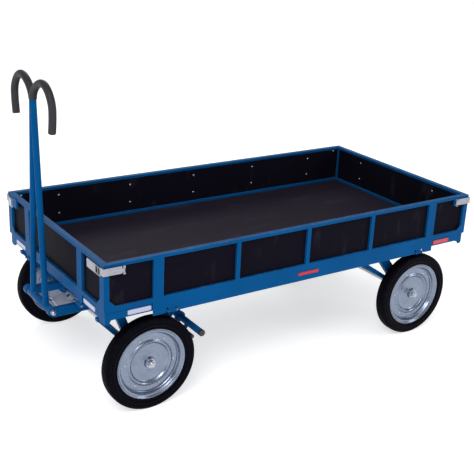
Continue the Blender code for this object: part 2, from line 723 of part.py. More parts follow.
# turn about z, half the distance between opposite outer faces, half length, hinge places along it
SIDES = {
    "near": (0.0, WIDTH / 2, LENGTH / 2, (-0.68, 0.68)),
    "far": (pi, WIDTH / 2, LENGTH / 2, (-0.68, 0.68)),
    "front": (-pi / 2, LENGTH / 2, WIDTH / 2 - SIDE_DEPTH - GAP, (-0.275, 0.275)),
    "rear": (pi / 2, LENGTH / 2, WIDTH / 2 - SIDE_DEPTH - GAP, (-0.275, 0.275)),
}


def main():
    clear_scene()
    blue = make_material("blue_paint", (0.008, 0.105, 0.36), 0.38)
    plywood = make_material("film_faced_plywood", (0.013, 0.011, 0.016), 0.55)
    decking = make_material("deck_plywood", (0.040, 0.028, 0.033), 0.60)
    zinc = make_material("zinc_plate", (0.42, 0.46, 0.52), 0.32, 1.0)
    rubber = make_material("tyre_rubber", (0.010, 0.010, 0.012), 0.62)
    grip_rubber = make_material("grip_rubber", (0.028, 0.026, 0.032), 0.55)
    plastic = make_material("black_plastic", (0.012, 0.012, 0.013), 0.45)

    deck = pivot("deck", (DECK_X, 0, 0))
    add("base_frame", base_frame(), blue, deck)
    add("deck_board", deck_board(), decking, deck)
    upper = slew_ring(0.4445, CROSS_BOTTOM - GAP, 1)
    add("slew_ring_upper", shifted(upper, (FRONT_AXLE_X, 0, 0)), zinc, deck, 30)
    add("rear_axle", axle(REAR_AXLE_X), zinc, deck, 30)

    long_post, end_post = 0.0235, 0.010
    pivot_x = LENGTH / 2 - LATCH_LENGTH
    for name, (turn, reach, half, centres) in SIDES.items():
        along = Matrix.Rotation(turn, 3, "Z")
        axis_place = along @ Vector((0, -reach - HINGE_OUT, 0)) + Vector((DECK_X, 0, HINGE_Z))
        hinge = pivot(f"{name}_side_hinge", axis_place, turn)
        if name in ("near", "far"):
            latches = (-pivot_x, pivot_x)
            thin = (-0.366, 0.0, 0.366)
            frame = drop_side(half, long_post, (-0.742, 0.742), thin, 0.765, 0.4315, centres, latches)
            panel = side_panel(half, long_post)
        else:
            keepers = (-0.412,) if name == "front" else ()
            frame = drop_side(half, end_post, (-0.275, 0.275), (), 0.2975, 0.458, centres, (), keepers)
            panel = side_panel(half, end_post)
        add(f"{name}_side_frame", frame, blue, hinge)
        add(f"{name}_side_panel", panel, plywood, hinge)
        for end, x in zip(("a", "b"), centres, strict=True):
            pin = shifted(hinge_pin(), (x, 0, 0))
            add(f"{name}_hinge_pin_{end}", pin, zinc, hinge, 40)
        for end, hand in (("a", -1), ("b", 1)):
            if name in ("near", "far"):
                place = along @ Vector((hand * pivot_x, -LATCH_AXIS_OUT + HINGE_OUT, 0))
                lever_axis = pivot(f"{name}_latch_{end}_pivot", axis_place + place - Vector((0, 0, HINGE_Z)))
                add(f"{name}_latch_lever_{end}", latch_lever(hand), zinc, lever_axis, rotation=turn)
            else:
                strike = short_strike(hand) if name == "front" and hand < 0 else latch_strike(hand)
                add(f"{name}_latch_strike_{end}", strike, zinc, hinge)

    steering = pivot("steering_pivot", (FRONT_AXLE_X + DECK_X, 0, 0))
    add("bogie_frame", about(bogie_frame(), steering), blue, steering)
    lower = slew_ring(BOGIE_TOP + GAP, 0.4442, -1)
    add("slew_ring_lower", lower, zinc, steering, 30)
    add("kingpin", about(kingpin(), steering), zinc, steering, 40)
    add("front_axle", about(axle(FRONT_AXLE_X), steering), zinc, steering, 30)
    add("lock_plate", about(lock_plate(), steering), zinc, steering)
    add("drawbar_pivot_bolt", about(pivot_bolt(), steering), zinc, steering, 30)

    brake = pivot("brake_pivot", (BRAKE_X + DECK_X, 0, BRAKE_Z), parent=steering)
    add("brake_bar", about(brake_bar(), brake), blue, brake, 30)
    drawbar = pivot("drawbar_pivot", (DRAWBAR_X + DECK_X, 0, DRAWBAR_Z), parent=steering)
    add("drawbar_frame", about(drawbar_frame(), drawbar), blue, drawbar, 30)
    for tag, side in (("near", -1), ("far", 1)):
        cap_start, cap_end = side * (BRAKE_HALF + GAP), side * 0.487
        cap = end_cap(BRAKE_X, BRAKE_Z, BRAKE_RADIUS + 0.0005, cap_start, cap_end)
        add(f"brake_shaft_cap_{tag}", about(cap, brake), plastic, brake, 30)
        shoe_start, shoe_end = side * (SHOE_HALF + GAP), side * (SHOE_HALF + 0.016)
        shoe_cap = end_cap(SHOE_X, SHOE_Z, SHOE_RADIUS, shoe_start, shoe_end)
        add(f"brake_shoe_cap_{tag}", about(shoe_cap, brake), plastic, brake, 30)
        add(f"hand_grip_{tag}", about(grip(side), drawbar), grip_rubber, drawbar, 40)

    for end, x, carrier in (("front", FRONT_AXLE_X, steering), ("rear", REAR_AXLE_X, deck)):
        for tag, side in (("near", -1), ("far", 1)):
            centre = (x + DECK_X, side * WHEEL_Y, WHEEL_RADIUS)
            spin = pivot(f"{end}_{tag}_wheel_pivot", centre, parent=carrier)
            add(f"{end}_{tag}_tyre", tyre(), rubber, spin, 40)
            add(f"{end}_{tag}_rim", rim(side), zinc, spin, 40)
            nut = shifted(axle_nut(side), (x, 0, WHEEL_RADIUS))
            add(f"{end}_{tag}_axle_nut", about(nut, carrier), zinc, carrier, 30)


main()
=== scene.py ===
# %% [markdown]
# # Platform trolley
# A hand-drawn trolley: a plywood deck on a blue steel frame, four drop sides, a steered front bogie and
# an upright drawbar that also works the parking brake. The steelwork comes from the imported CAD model.
# This lesson adds what a CAD model leaves plain: the paint, film, zinc and rubber, the wheels with their
# pressed rims and ribbed tyres, the corner latches, and the small screws, rivets and reflectors.

import json
from math import cos, pi, radians, sin

import bmesh
import bpy
from mathutils import Matrix, Vector
from mathutils.geometry import interpolate_bezier


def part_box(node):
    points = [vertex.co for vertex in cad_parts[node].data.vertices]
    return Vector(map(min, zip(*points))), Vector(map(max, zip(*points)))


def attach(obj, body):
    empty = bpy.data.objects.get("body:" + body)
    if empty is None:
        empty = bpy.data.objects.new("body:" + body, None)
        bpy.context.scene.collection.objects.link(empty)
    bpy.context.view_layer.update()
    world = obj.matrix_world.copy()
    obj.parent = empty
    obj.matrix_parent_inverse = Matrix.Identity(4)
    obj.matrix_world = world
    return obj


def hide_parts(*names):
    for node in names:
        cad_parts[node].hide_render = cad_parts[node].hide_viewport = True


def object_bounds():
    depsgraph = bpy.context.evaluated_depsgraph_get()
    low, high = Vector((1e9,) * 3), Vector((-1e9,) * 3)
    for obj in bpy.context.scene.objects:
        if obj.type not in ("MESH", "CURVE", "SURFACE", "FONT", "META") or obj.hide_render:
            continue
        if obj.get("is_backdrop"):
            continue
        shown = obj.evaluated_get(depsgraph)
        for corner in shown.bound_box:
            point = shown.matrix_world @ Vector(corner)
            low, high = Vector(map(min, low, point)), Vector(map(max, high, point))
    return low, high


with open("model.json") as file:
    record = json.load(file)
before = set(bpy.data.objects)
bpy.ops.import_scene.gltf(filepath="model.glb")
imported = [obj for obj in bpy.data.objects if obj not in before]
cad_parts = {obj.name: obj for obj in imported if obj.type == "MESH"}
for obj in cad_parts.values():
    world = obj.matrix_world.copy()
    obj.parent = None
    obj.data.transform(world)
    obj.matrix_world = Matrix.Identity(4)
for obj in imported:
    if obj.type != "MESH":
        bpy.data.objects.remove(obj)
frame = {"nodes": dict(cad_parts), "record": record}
cad_box = [list(corner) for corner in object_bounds()]

# %% [markdown]
# ## Places
# The faces of the load bed are found from the box of the deck board, which lies 27 mm inside the outer
# faces of the drop sides, all the way round. Most pieces further down start from their CAD piece's box.

# %% Places
board_low, board_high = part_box("deck_board")
SIDE_FACE = 0.027
middle_x = (board_low.x + board_high.x) / 2
near_face = board_low.y - SIDE_FACE
far_face = board_high.y + SIDE_FACE
front_face = board_low.x - SIDE_FACE
rear_face = board_high.x + SIDE_FACE
bed_size = rear_face - front_face, far_face - near_face
print("outer size of the load bed:", *(round(size, 4) for size in bed_size), "m")

# %% [markdown]
# ## Camera
# The camera stands at the front near corner, a little above the drawbar, and looks down along the deck.
# It is set by three angles and a place. A long lens keeps the far side nearly as large as the near side.

# %% Camera
CAMERA_PLACE = Vector((middle_x - 2.344, -3.346, 2.012))
CAMERA_HEADING = radians(34.57)
CAMERA_DOWN = radians(20.79)
CAMERA_ROLL = radians(2.78)
SENSOR_WIDTH, FOCAL_LENGTH = 36.0, 68.88  # mm

lens = bpy.data.cameras.new("camera")
lens.sensor_width = SENSOR_WIDTH
lens.lens = FOCAL_LENGTH
camera = bpy.data.objects.new("camera", lens)
bpy.context.scene.collection.objects.link(camera)
tilt = Matrix.Rotation(-CAMERA_HEADING, 4, "Z") @ Matrix.Rotation(pi / 2 - CAMERA_DOWN, 4, "X")
camera.matrix_world = Matrix.Translation(CAMERA_PLACE) @ tilt @ Matrix.Rotation(CAMERA_ROLL, 4, "Z")
bpy.context.scene.camera = camera

# %% [markdown]
# ## Light
# A plain product studio. A pale wall stands all round, a wide soft light fills the ceiling, and a shaded
# band between them gives zinc and gloss paint something to reflect. Large soft lamps stand in front, at
# the side and behind, and a wide sun evens out the shadows. The pale floor glows a little of its own, so
# it washes out to white, and the plain display transform keeps the paint's full colour.

# %% Light
WALL, SHADE, CEILING = 0.95, 0.08, 0.50
SKY_GLOWS = (  # height in the sky and brightness, from which and to which each glow changes
    ((0.28, WALL), (0.42, 0.0)),
    ((0.45, SHADE), (0.90, CEILING)),
)
LAMP_AIM = Vector((0, 0, 0.4))
SUN_POWER, SUN_SPREAD, SUN_WAY = 0.45, radians(50), Vector((0.45, 0.55, -1.0))
FLOOR_SPAN = 60.0
FLOOR_GREY, FLOOR_GLOW = 0.78, 0.58
WHITE = (1.0, 1.0, 1.0, 1.0)

bpy.context.scene.view_settings.view_transform = "Standard"
world = bpy.data.worlds.new("studio")
bpy.context.scene.world = world
world.use_nodes = True
sky = world.node_tree
looking = sky.nodes.new("ShaderNodeTexCoord").outputs["Generated"]
height = sky.nodes.new("ShaderNodeSeparateXYZ")
sky.links.new(looking, height.inputs[0])
brightness = sky.nodes.new("ShaderNodeMath")
for socket, ((start, first), (end, last)) in zip(brightness.inputs, SKY_GLOWS):
    glow = sky.nodes.new("ShaderNodeMapRange")
    sky.links.new(height.outputs["Z"], glow.inputs["Value"])
    for label, value in {"From Min": start, "From Max": end, "To Min": first, "To Max": last}.items():
        glow.inputs[label].default_value = value
    sky.links.new(glow.outputs["Result"], socket)
sky.nodes["Background"].inputs["Color"].default_value = WHITE
sky.links.new(brightness.outputs[0], sky.nodes["Background"].inputs["Strength"])


def placed(name, data):
    """An object in the scene for some data."""
    made = bpy.data.objects.new(name, data)
    bpy.context.scene.collection.objects.link(made)
    return made


def soft_lamp(name, place, size, power):
    """A square area lamp that points at the trolley."""
    light = bpy.data.lights.new(name, "AREA")
    light.shape = "SQUARE"
    light.size = size
    light.energy = power
    lamp = placed(name, light)
    lamp.location = place
    lamp.rotation_euler = (LAMP_AIM - Vector(place)).to_track_quat("-Z", "Y").to_euler()


soft_lamp("front lamp", (-3.4, -3.2, 4.4), 2.2, 130)
soft_lamp("side lamp", (3.5, -3.6, 2.8), 1.6, 40)
soft_lamp("back lamp", (1.0, 4.0, 4.2), 2.4, 60)
wash = bpy.data.lights.new("even wash", "SUN")
wash.energy = SUN_POWER
wash.angle = SUN_SPREAD
placed("even wash", wash).rotation_euler = SUN_WAY.to_track_quat("-Z", "Y").to_euler()

reach = FLOOR_SPAN / 2
corners = [(-reach, -reach, 0), (reach, -reach, 0), (reach, reach, 0), (-reach, reach, 0)]
floor_mesh = bpy.data.meshes.new("floor")
floor_mesh.from_pydata(corners, [], [(0, 1, 2, 3)])
floor = placed("floor", floor_mesh)
floor_finish = bpy.data.materials.new("pale_floor")
floor_finish.use_nodes = True
floor_shader = floor_finish.node_tree.nodes["Principled BSDF"].inputs
floor_shader["Base Color"].default_value = (FLOOR_GREY, FLOOR_GREY, FLOOR_GREY, 1.0)
floor_shader["Roughness"].default_value = 0.9
floor_shader["Specular IOR Level"].default_value = 0.0
floor_shader["Emission Color"].default_value = WHITE
floor_shader["Emission Strength"].default_value = FLOOR_GLOW
floor_mesh.materials.append(floor_finish)
floor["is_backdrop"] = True

# %% [markdown]
# ## Shader maths
# A finish is a small network of nodes. Two helpers keep it readable. `Signal` wraps one output and turns
# Python arithmetic into Math nodes, so `0.4 + 0.1 * cloud` is a roughness that varies. `Finish` makes a
# material, and its one `node` method adds any other node, its settings first and then its sockets.

# %% Shader maths


def add_node(tree, kind, settings=None, sockets=None):
    """One node of a tree. A socket takes a Signal, another node's output, a node or a plain value."""
    made = tree.nodes.new(kind)
    for name, value in (settings or {}).items():
        setattr(made, name, value)
    for key, value in (sockets or {}).items():
        feed(tree, made.inputs[key], value)
    return made


def feed(tree, socket, value):
    """Links or sets one socket."""
    if isinstance(value, Signal):
        tree.links.new(value.socket, socket)
    elif isinstance(value, bpy.types.Node):
        tree.links.new(value.outputs[0], socket)
    elif isinstance(value, bpy.types.NodeSocket):
        tree.links.new(value, socket)
    elif socket.type == "RGBA" and len(value) == 3:
        socket.default_value = (*value, 1.0)
    else:
        socket.default_value = value


class Signal:
    """A number that varies over a surface. Arithmetic on it adds Math nodes."""

    def __init__(self, tree, socket):
        self.tree = tree
        self.socket = socket

    def math(self, operation, *values, clamp=False):
        settings = {"operation": operation, "use_clamp": clamp}
        made = add_node(self.tree, "ShaderNodeMath", settings, dict(enumerate(values)))
        return Signal(self.tree, made.outputs[0])

    def __add__(self, other):
        return self.math("ADD", self, other)

    def __mul__(self, other):
        return self.math("MULTIPLY", self, other)

    def __sub__(self, other):
        return self.math("SUBTRACT", self, other)

    def __rsub__(self, other):
        return self.math("SUBTRACT", other, self)

    __radd__ = __add__
    __rmul__ = __mul__

    def wave(self, pitch):
        """A ripple from -1 to 1 that repeats at each pitch."""
        return self.math("SINE", self * (2 * pi / pitch))

    def over(self, low, high):
        """0 below low, 1 above high, and a straight run between them."""
        return self.math("MULTIPLY", self - low, 1 / (high - low), clamp=True)


class Finish:
    """One material and the ways of adding to it."""

    def __init__(self, name):
        self.material = bpy.data.materials.new(name)
        self.material.use_nodes = True
        self.tree = self.material.node_tree
        self.shader = self.tree.nodes["Principled BSDF"]
        self.place = self.node("ShaderNodeTexCoord").outputs["Object"]

    def node(self, kind, settings=None, sockets=None):
        return add_node(self.tree, kind, settings, sockets)

    def set(self, **values):
        for name, value in values.items():
            feed(self.tree, self.shader.inputs[name.replace("_", " ")], value)

    def axes(self):
        parts = self.node("ShaderNodeSeparateXYZ", None, {0: self.place}).outputs
        return [Signal(self.tree, part) for part in parts]

    def noise(self, size, detail=3.0, stretch=(1.0, 1.0, 1.0), shift=0.0):
        """A cloud whose blobs are about `size` metres across."""
        moved = {"Vector": self.place, "Location": (shift, shift, shift), "Scale": stretch}
        mapping = self.node("ShaderNodeMapping", None, moved)
        values = {"Vector": mapping, "Scale": 1 / size, "Detail": detail}
        return Signal(self.tree, self.node("ShaderNodeTexNoise", None, values).outputs[0])

    def cells(self, size):
        """Cells of random grey, each about `size` metres across."""
        made = self.node("ShaderNodeTexVoronoi", None, {"Vector": self.place, "Scale": 1 / size})
        grey = self.node("ShaderNodeSeparateColor", None, {0: made.outputs["Color"]})
        return Signal(self.tree, grey.outputs[0])

    def attribute(self, name):
        made = self.node("ShaderNodeAttribute", {"attribute_name": name})
        return Signal(self.tree, made.outputs["Fac"])

    def blend(self, share, first, second):
        """The first colour where share is 0, the second where it is 1."""
        made = self.node("ShaderNodeMix", {"data_type": "RGBA"}, {0: share, 6: first, 7: second})
        return made.outputs[2]

    def rounded(self, radius):
        """The surface direction as if every edge were rounded off by this radius."""
        return self.node("ShaderNodeBevel", {"samples": 4}, {"Radius": radius}).outputs[0]

    def edges(self, rounded, gain):
        """1 along sharp edges, where the rounded direction leaves the flat one, and 0 on flats."""
        flat = self.node("ShaderNodeNewGeometry").outputs["Normal"]
        settings = {"operation": "DOT_PRODUCT"}
        dot = self.node("ShaderNodeVectorMath", settings, {0: flat, 1: rounded}).outputs["Value"]
        return (1 - Signal(self.tree, dot)).over(0.0, 1 / gain)

    def upwards(self):
        """1 on faces that look up, where dust settles."""
        flat = self.node("ShaderNodeNewGeometry").outputs["Normal"]
        height = self.node("ShaderNodeSeparateXYZ", None, {0: flat}).outputs[2]
        return Signal(self.tree, height).over(0.6, 0.95)

    def bump(self, height, depth, rounded=None):
        """Raises the surface by up to `depth` metres where height is 1."""
        sockets = {"Height": height, "Distance": depth, "Strength": 1.0}
        if rounded is not None:
            sockets["Normal"] = rounded
        self.set(Normal=self.node("ShaderNodeBump", None, sockets))


# %% [markdown]
# ## Blue powder coat
# The frame, the sides and the drawbar are powder coated. The coat is even, a little glossy and faintly
# dimpled like orange peel. Sharp edges carry a painted highlight: a lighter blue for the light they catch,
# and in part for the coat pulling thin there. A new trolley still carries a trace of dust on top. A Bevel
# node rounds the corners in shading, as thick paint does.

# %% Blue powder coat
BLUE = (0.0010, 0.074, 0.232)
DEEP_BLUE = (0.0008, 0.059, 0.188)
# a lighter blue, painted along sharp edges as a highlight
EDGE_HIGHLIGHT_BLUE = (0.030, 0.235, 0.560)
GLOSS_TINT = (0.20, 0.58, 1.0)
DUST = (0.34, 0.36, 0.40)


def powder_coat(name, edge_radius):
    paint = Finish(name)
    rounded = paint.rounded(edge_radius)
    broad = paint.noise(0.35, 2.0)
    peel = paint.noise(0.0016, 1.0)
    smears = paint.noise(0.030, 4.0, stretch=(1.0, 1.0, 0.25))
    colour = paint.blend(broad.over(0.30, 0.70), DEEP_BLUE, BLUE)
    # painted highlight: a lighter blue along every sharp edge, for the light edges catch and partly for
    # thin coat
    colour = paint.blend(paint.edges(rounded, 3.0) * 0.75, colour, EDGE_HIGHLIGHT_BLUE)
    colour = paint.blend(paint.upwards() * smears.over(0.45, 0.80) * 0.10, colour, DUST)
    paint.set(Base_Color=colour, Roughness=0.32 + 0.14 * smears)
    paint.set(Specular_IOR_Level=0.05, Specular_Tint=GLOSS_TINT)
    paint.bump(peel, 0.00006, rounded)
    return paint.material


blue_coat = powder_coat("blue_powder_coat", 0.0020)
print("finish:", blue_coat.name)

# %% [markdown]
# ## Film-faced plywood
# The side panels and the deck are birch plywood under a dark phenolic film. The film is smooth, but the
# grain of the veneer shows through as long faint streaks. The deck's film is browner, and a wire mesh was
# pressed into it against slipping, so two crossed ripples make its relief. Boots and boxes leave scuffs.

# %% Film-faced plywood
PANEL_FILM = (0.0034, 0.0032, 0.0072)
PANEL_STREAK = (0.0068, 0.0060, 0.0112)
DECK_FILM = (0.0135, 0.0105, 0.0185)
DECK_STREAK = (0.0205, 0.0160, 0.0265)
FILM_TINT = (0.72, 0.74, 1.0)
SCUFF = (0.090, 0.075, 0.078)
MESH_PITCH = 0.0042


def panel_film():
    film = Finish("film_faced_panel")
    grain = film.noise(0.010, 3.0, stretch=(0.06, 0.06, 1.0))
    cloud = film.noise(0.22, 3.0, shift=3.0)
    scuffs = film.noise(0.055, 6.0, stretch=(1.0, 1.0, 0.35), shift=7.0).over(0.60, 0.74)
    colour = film.blend(grain * 0.5 + cloud * 0.5, PANEL_FILM, PANEL_STREAK)
    colour = film.blend(scuffs * 0.10, colour, SCUFF)
    film.set(Base_Color=colour, Roughness=0.42 + 0.12 * cloud + 0.06 * scuffs)
    film.set(Specular_IOR_Level=0.02, Specular_Tint=FILM_TINT)
    film.bump(grain, 0.00004)
    return film.material


def deck_film():
    film = Finish("anti_slip_deck_film")
    x, y, _ = film.axes()
    mesh = x.wave(MESH_PITCH) * y.wave(MESH_PITCH)
    grain = film.noise(0.012, 3.0, stretch=(0.05, 1.0, 1.0))
    cloud = film.noise(0.30, 3.0)
    scuffs = film.noise(0.070, 6.0, stretch=(0.4, 1.0, 1.0), shift=5.0).over(0.58, 0.72)
    colour = film.blend(grain * 0.4 + cloud * 0.6, DECK_FILM, DECK_STREAK)
    colour = film.blend(scuffs * 0.12, colour, SCUFF)
    film.set(Base_Color=colour, Roughness=0.50 + 0.12 * cloud)
    film.set(Specular_IOR_Level=0.08, Specular_Tint=FILM_TINT)
    film.bump(mesh, 0.00012)
    return film.material


side_film = panel_film()
deck_surface = deck_film()

# %% [markdown]
# ## Zinc plate
# Rims, axles and bolts are bright zinc plated. Zinc has a cool blue-grey cast, with a faint cloudiness and
# small crystal patches. A rim is spun in a press, so it also carries fine rings. Its mesh stores each
# point's distance from the axle, and a noise along that distance draws the rings. The latches and the foot
# plate are bent sheet that was never polished: paler, chalky and less of a mirror. The foot plate's copy is
# paler still, as painted light: the plate sits in shade under the frame, and the lighter colour lifts it.

# %% Zinc plate
PLATE_ZINC = (0.52, 0.55, 0.61), (0.38, 0.41, 0.47)
RIM_ZINC = (0.262, 0.306, 0.400), (0.172, 0.206, 0.280)
SHEET_ZINC = (0.42, 0.42, 0.47), (0.24, 0.24, 0.28)
# a paler copy of the sheet zinc, painted light that lifts the shaded foot plate
FOOT_ZINC_PAINTED_LIGHT = (0.66, 0.68, 0.74), (0.46, 0.49, 0.56)
OILED_ZINC = (0.10, 0.12, 0.17)
RUBBED_ZINC = (0.62, 0.63, 0.68)
RINGS_PER_METRE = 900.0


def zinc_plate(name, colours, rings=False, shine=0.20):
    zinc = Finish(name)
    cloud = zinc.noise(0.045, 4.0)
    patches = zinc.cells(0.006)
    stain = zinc.noise(0.018, 5.0, shift=9.0).over(0.62, 0.80)
    colour = zinc.blend(cloud * 0.7 + patches * 0.3, *colours)
    colour = zinc.blend(stain * 0.35, colour, OILED_ZINC)
    zinc.set(Base_Color=colour, Metallic=1.0, Roughness=shine + 0.12 * cloud + 0.06 * patches)
    if rings:
        radius = zinc.attribute("from_axle")
        values = {"W": radius, "Scale": RINGS_PER_METRE}
        spun = zinc.node("ShaderNodeTexNoise", {"noise_dimensions": "1D"}, values)
        zinc.bump(Signal(zinc.tree, spun.outputs[0]) * 0.7 + cloud * 0.3, 0.00010)
    else:
        zinc.bump(patches, 0.00003, zinc.rounded(0.0008))
    return zinc.material


bright_zinc = zinc_plate("bright_zinc", PLATE_ZINC)
spun_zinc = zinc_plate("spun_zinc", RIM_ZINC, rings=True, shine=0.19)


def pressed_sheet(name, colours):
    sheet = Finish(name)
    cloud = sheet.noise(0.030, 5.0)
    rubbed = sheet.noise(0.008, 4.0, stretch=(1.0, 0.3, 1.0)).over(0.55, 0.75)
    colour = sheet.blend(cloud, *colours)
    colour = sheet.blend(rubbed * 0.4, colour, RUBBED_ZINC)
    sheet.set(Base_Color=colour, Metallic=0.35, Roughness=0.36 + 0.16 * cloud)
    sheet.bump(cloud, 0.00006, sheet.rounded(0.0008))
    return sheet.material


sheet_zinc = pressed_sheet("pressed_zinc_sheet", SHEET_ZINC)
# painted lighter, to lift the foot plate out of the shade it sits in
foot_zinc_painted_light = pressed_sheet("foot_plate_zinc_painted_light", FOOT_ZINC_PAINTED_LIGHT)

# %% [markdown]
# ## Rubber and plastic
# The tyres are solid black rubber: shiny where the mould was polished, duller on the tread, with a little
# floor dust in the grooves. The hand grips are a softer, greyer sleeve with a pebbled skin. The small caps
# on the brake bars are moulded plastic.

# %% Rubber and plastic
TYRE_BLACK = (0.0014, 0.0014, 0.0030)
TYRE_DUST = (0.010, 0.010, 0.014)
GRIP_GREY = (0.0200, 0.0185, 0.0235)
CAP_BLACK = (0.010, 0.010, 0.011)
SHOULDER = 0.194  # the tread lies further from the axle than this
SIDEWALL_RIDGES = 0.0022


def tyre_rubber():
    rubber = Finish("tyre_rubber")
    radius = rubber.attribute("from_axle")
    tread = radius.over(SHOULDER - 0.006, SHOULDER + 0.004)
    cloud = rubber.noise(0.050, 5.0)
    dust = rubber.noise(0.012, 6.0, shift=2.0).over(0.50, 0.78)
    colour = rubber.blend(dust * (0.10 + 0.35 * tread), TYRE_BLACK, TYRE_DUST)
    rubber.set(Base_Color=colour, Roughness=0.30 + 0.22 * tread + 0.10 * cloud)
    rubber.set(Specular_IOR_Level=0.03, Specular_Tint=FILM_TINT)
    ridges = radius.wave(SIDEWALL_RIDGES) * (1 - tread)
    rubber.bump(ridges * 0.3 + rubber.noise(0.002, 2.0), 0.00012)
    return rubber.material


def grip_sleeve():
    sleeve = Finish("grip_sleeve")
    pebbles = sleeve.noise(0.0014, 2.0)
    wear = sleeve.noise(0.040, 4.0)
    colour = sleeve.blend(wear.over(0.35, 0.75) * 0.5, GRIP_GREY, TYRE_DUST)
    sleeve.set(Base_Color=colour, Roughness=0.46 + 0.20 * wear, Specular_IOR_Level=0.30)
    sleeve.bump(pebbles, 0.00025)
    return sleeve.material


def moulded_plastic():
    plastic = Finish("moulded_black_plastic")
    grain = plastic.noise(0.0011, 1.0)
    cloud = plastic.noise(0.020, 3.0)
    plastic.set(Base_Color=plastic.blend(cloud, CAP_BLACK, TYRE_DUST), Roughness=0.34 + 0.15 * cloud)
    plastic.bump(grain, 0.00008)
    return plastic.material


tyre_black = tyre_rubber()
grip_black = grip_sleeve()
cap_black = moulded_plastic()

# %% [markdown]
# ## Reflector finish
# A reflector is a strip of small prisms behind a clear skin. The prisms are made as geometry further down,
# so the finish only needs the colour, a smooth coat and the slight haze of handling.

# %% Reflector finish
PRISM_WHITE = (0.42, 0.45, 0.62), (0.30, 0.33, 0.45)
PRISM_RED = (0.50, 0.010, 0.026), (0.40, 0.008, 0.016)


def prism_skin(name, colours):
    skin = Finish(name)
    haze = skin.noise(0.015, 4.0)
    skin.set(Base_Color=skin.blend(haze * 0.4, *colours), Roughness=0.16 + 0.20 * haze)
    skin.set(Coat_Weight=0.6, Coat_Roughness=0.08)
    return skin.material


white_prisms = prism_skin("white_reflector", PRISM_WHITE)
red_prisms = prism_skin("red_reflector", PRISM_RED)

# %% [markdown]
# ## Making a piece
# Each new piece is one plain mesh at the origin, with its place in its points. `settle` gives it its
# finish, its smooth shading and the body that it moves with, and hides the CAD pieces that it stands for.

# %% Making a piece
SMOOTH = radians(35)
MERGE = 0.000005  # points closer than this become one


def settle(name, mesh, finish, body, replaces=(), smooth=SMOOTH):
    """Links a mesh as a named piece, parents it to its body and hides the CAD pieces that it replaces."""
    mesh.name = name
    piece = placed(name, mesh)
    mesh.materials.clear()
    mesh.materials.append(finish)
    mesh.shade_smooth()
    mesh.set_sharp_from_angle(angle=smooth)
    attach(piece, body)
    if replaces:
        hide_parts(*replaces)


def closed(bm):
    """A mesh from a bmesh of closed shells, with doubles merged and faces turned outwards."""
    bmesh.ops.remove_doubles(bm, verts=bm.verts, dist=MERGE)
    bmesh.ops.recalc_face_normals(bm, faces=bm.faces)
    mesh = bpy.data.meshes.new("shape")
    bm.to_mesh(mesh)
    bm.free()
    return mesh


def bridge(bm, here, after, loop=True):
    """Faces between one row of points and the next, all the way round where the rows are loops."""
    for i in range(len(here) if loop else len(here) - 1):
        j = (i + 1) % len(here)
        bm.faces.new((here[i], here[j], after[j], after[i]))


def turned(outline, centre, sides, along="Y", loop=True):
    """A solid spun about an axis through centre, from an outline of (radius, height along the axis)."""
    bm = bmesh.new()
    rings = []
    for step in range(sides):
        angle = 2 * pi * step / sides
        c, s = cos(angle), sin(angle)
        if along == "Y":
            rings.append([bm.verts.new(centre + Vector((r * c, h, r * s))) for r, h in outline])
        else:
            rings.append([bm.verts.new(centre + Vector((r * c, r * s, h))) for r, h in outline])
    for here, after in zip(rings, rings[1:] + rings[:1], strict=True):
        bridge(bm, here, after, loop)
    if not loop:
        for end in (0, -1):
            bm.faces.new([ring[end] for ring in rings])
    return closed(bm)


def with_radius(mesh, centre):
    """Stores each point's distance from the wheel's axle, which the rubber and the spun zinc read."""
    store = mesh.attributes.new("from_axle", "FLOAT", "POINT")
    distances = [Vector((v.co.x - centre.x, v.co.z - centre.z)).length for v in mesh.vertices]
    store.data.foreach_set("value", distances)
    return mesh


def swept(path, radii, sides):
    """A round bar along a path of points, its radius given at each, with flat ends."""
    bm = bmesh.new()
    rings = []
    side = None
    for i, point in enumerate(path):
        ahead = (path[min(i + 1, len(path) - 1)] - path[max(i - 1, 0)]).normalized()
        if side is None:
            side = ahead.orthogonal().normalized()
        side = (side - ahead * side.dot(ahead)).normalized()
        other = ahead.cross(side)
        ring = []
        for step in range(sides):
            angle = 2 * pi * step / sides
            ring.append(bm.verts.new(point + (side * cos(angle) + other * sin(angle)) * radii[i]))
        rings.append(ring)
    for here, after in zip(rings, rings[1:]):
        bridge(bm, here, after)
    bm.faces.new(rings[0])
    bm.faces.new(rings[-1])
    return closed(bm)


def straight_bar(start, end, radius, sides, ease=0.0):
    """A straight round bar, its end edges eased by a small radius."""
    start, end = Vector(start), Vector(end)
    if not ease:
        return swept([start, end], [radius, radius], sides)
    ahead = (end - start).normalized()
    half = ease * 0.3
    path = [start, start + ahead * half, start + ahead * ease]
    path += [end - ahead * ease, end - ahead * half, end]
    radii = [radius - ease, radius - half, radius, radius, radius - half, radius - ease]
    return swept(path, radii, sides)


def combined(first, others, operation="UNION"):
    """Joins closed meshes to the first in one Boolean step, or cuts or keeps with them."""
    body = placed("body", first)
    tools = bpy.data.collections.new("tools")
    bpy.context.scene.collection.children.link(tools)
    helpers = [bpy.data.objects.new("helper", other) for other in others]
    for helper in helpers:
        tools.objects.link(helper)
    step = body.modifiers.new("step", "BOOLEAN")
    step.operation = operation
    step.solver = "EXACT"
    step.operand_type = "COLLECTION"
    step.collection = tools
    bpy.context.view_layer.update()
    shown = body.evaluated_get(bpy.context.evaluated_depsgraph_get())
    result = bpy.data.meshes.new_from_object(shown)
    for used in [body, *helpers]:
        bpy.data.objects.remove(used, do_unlink=True)
    bpy.data.collections.remove(tools)
    return result


def middle(node):
    """The centre of a CAD piece's box."""
    low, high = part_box(node)
    return (low + high) / 2


# %% [markdown]
# ## Finishes on the CAD pieces
# Flat-sided steel and board keep their CAD shape and only take a finish. The piece's material slot in the
# record says which one.

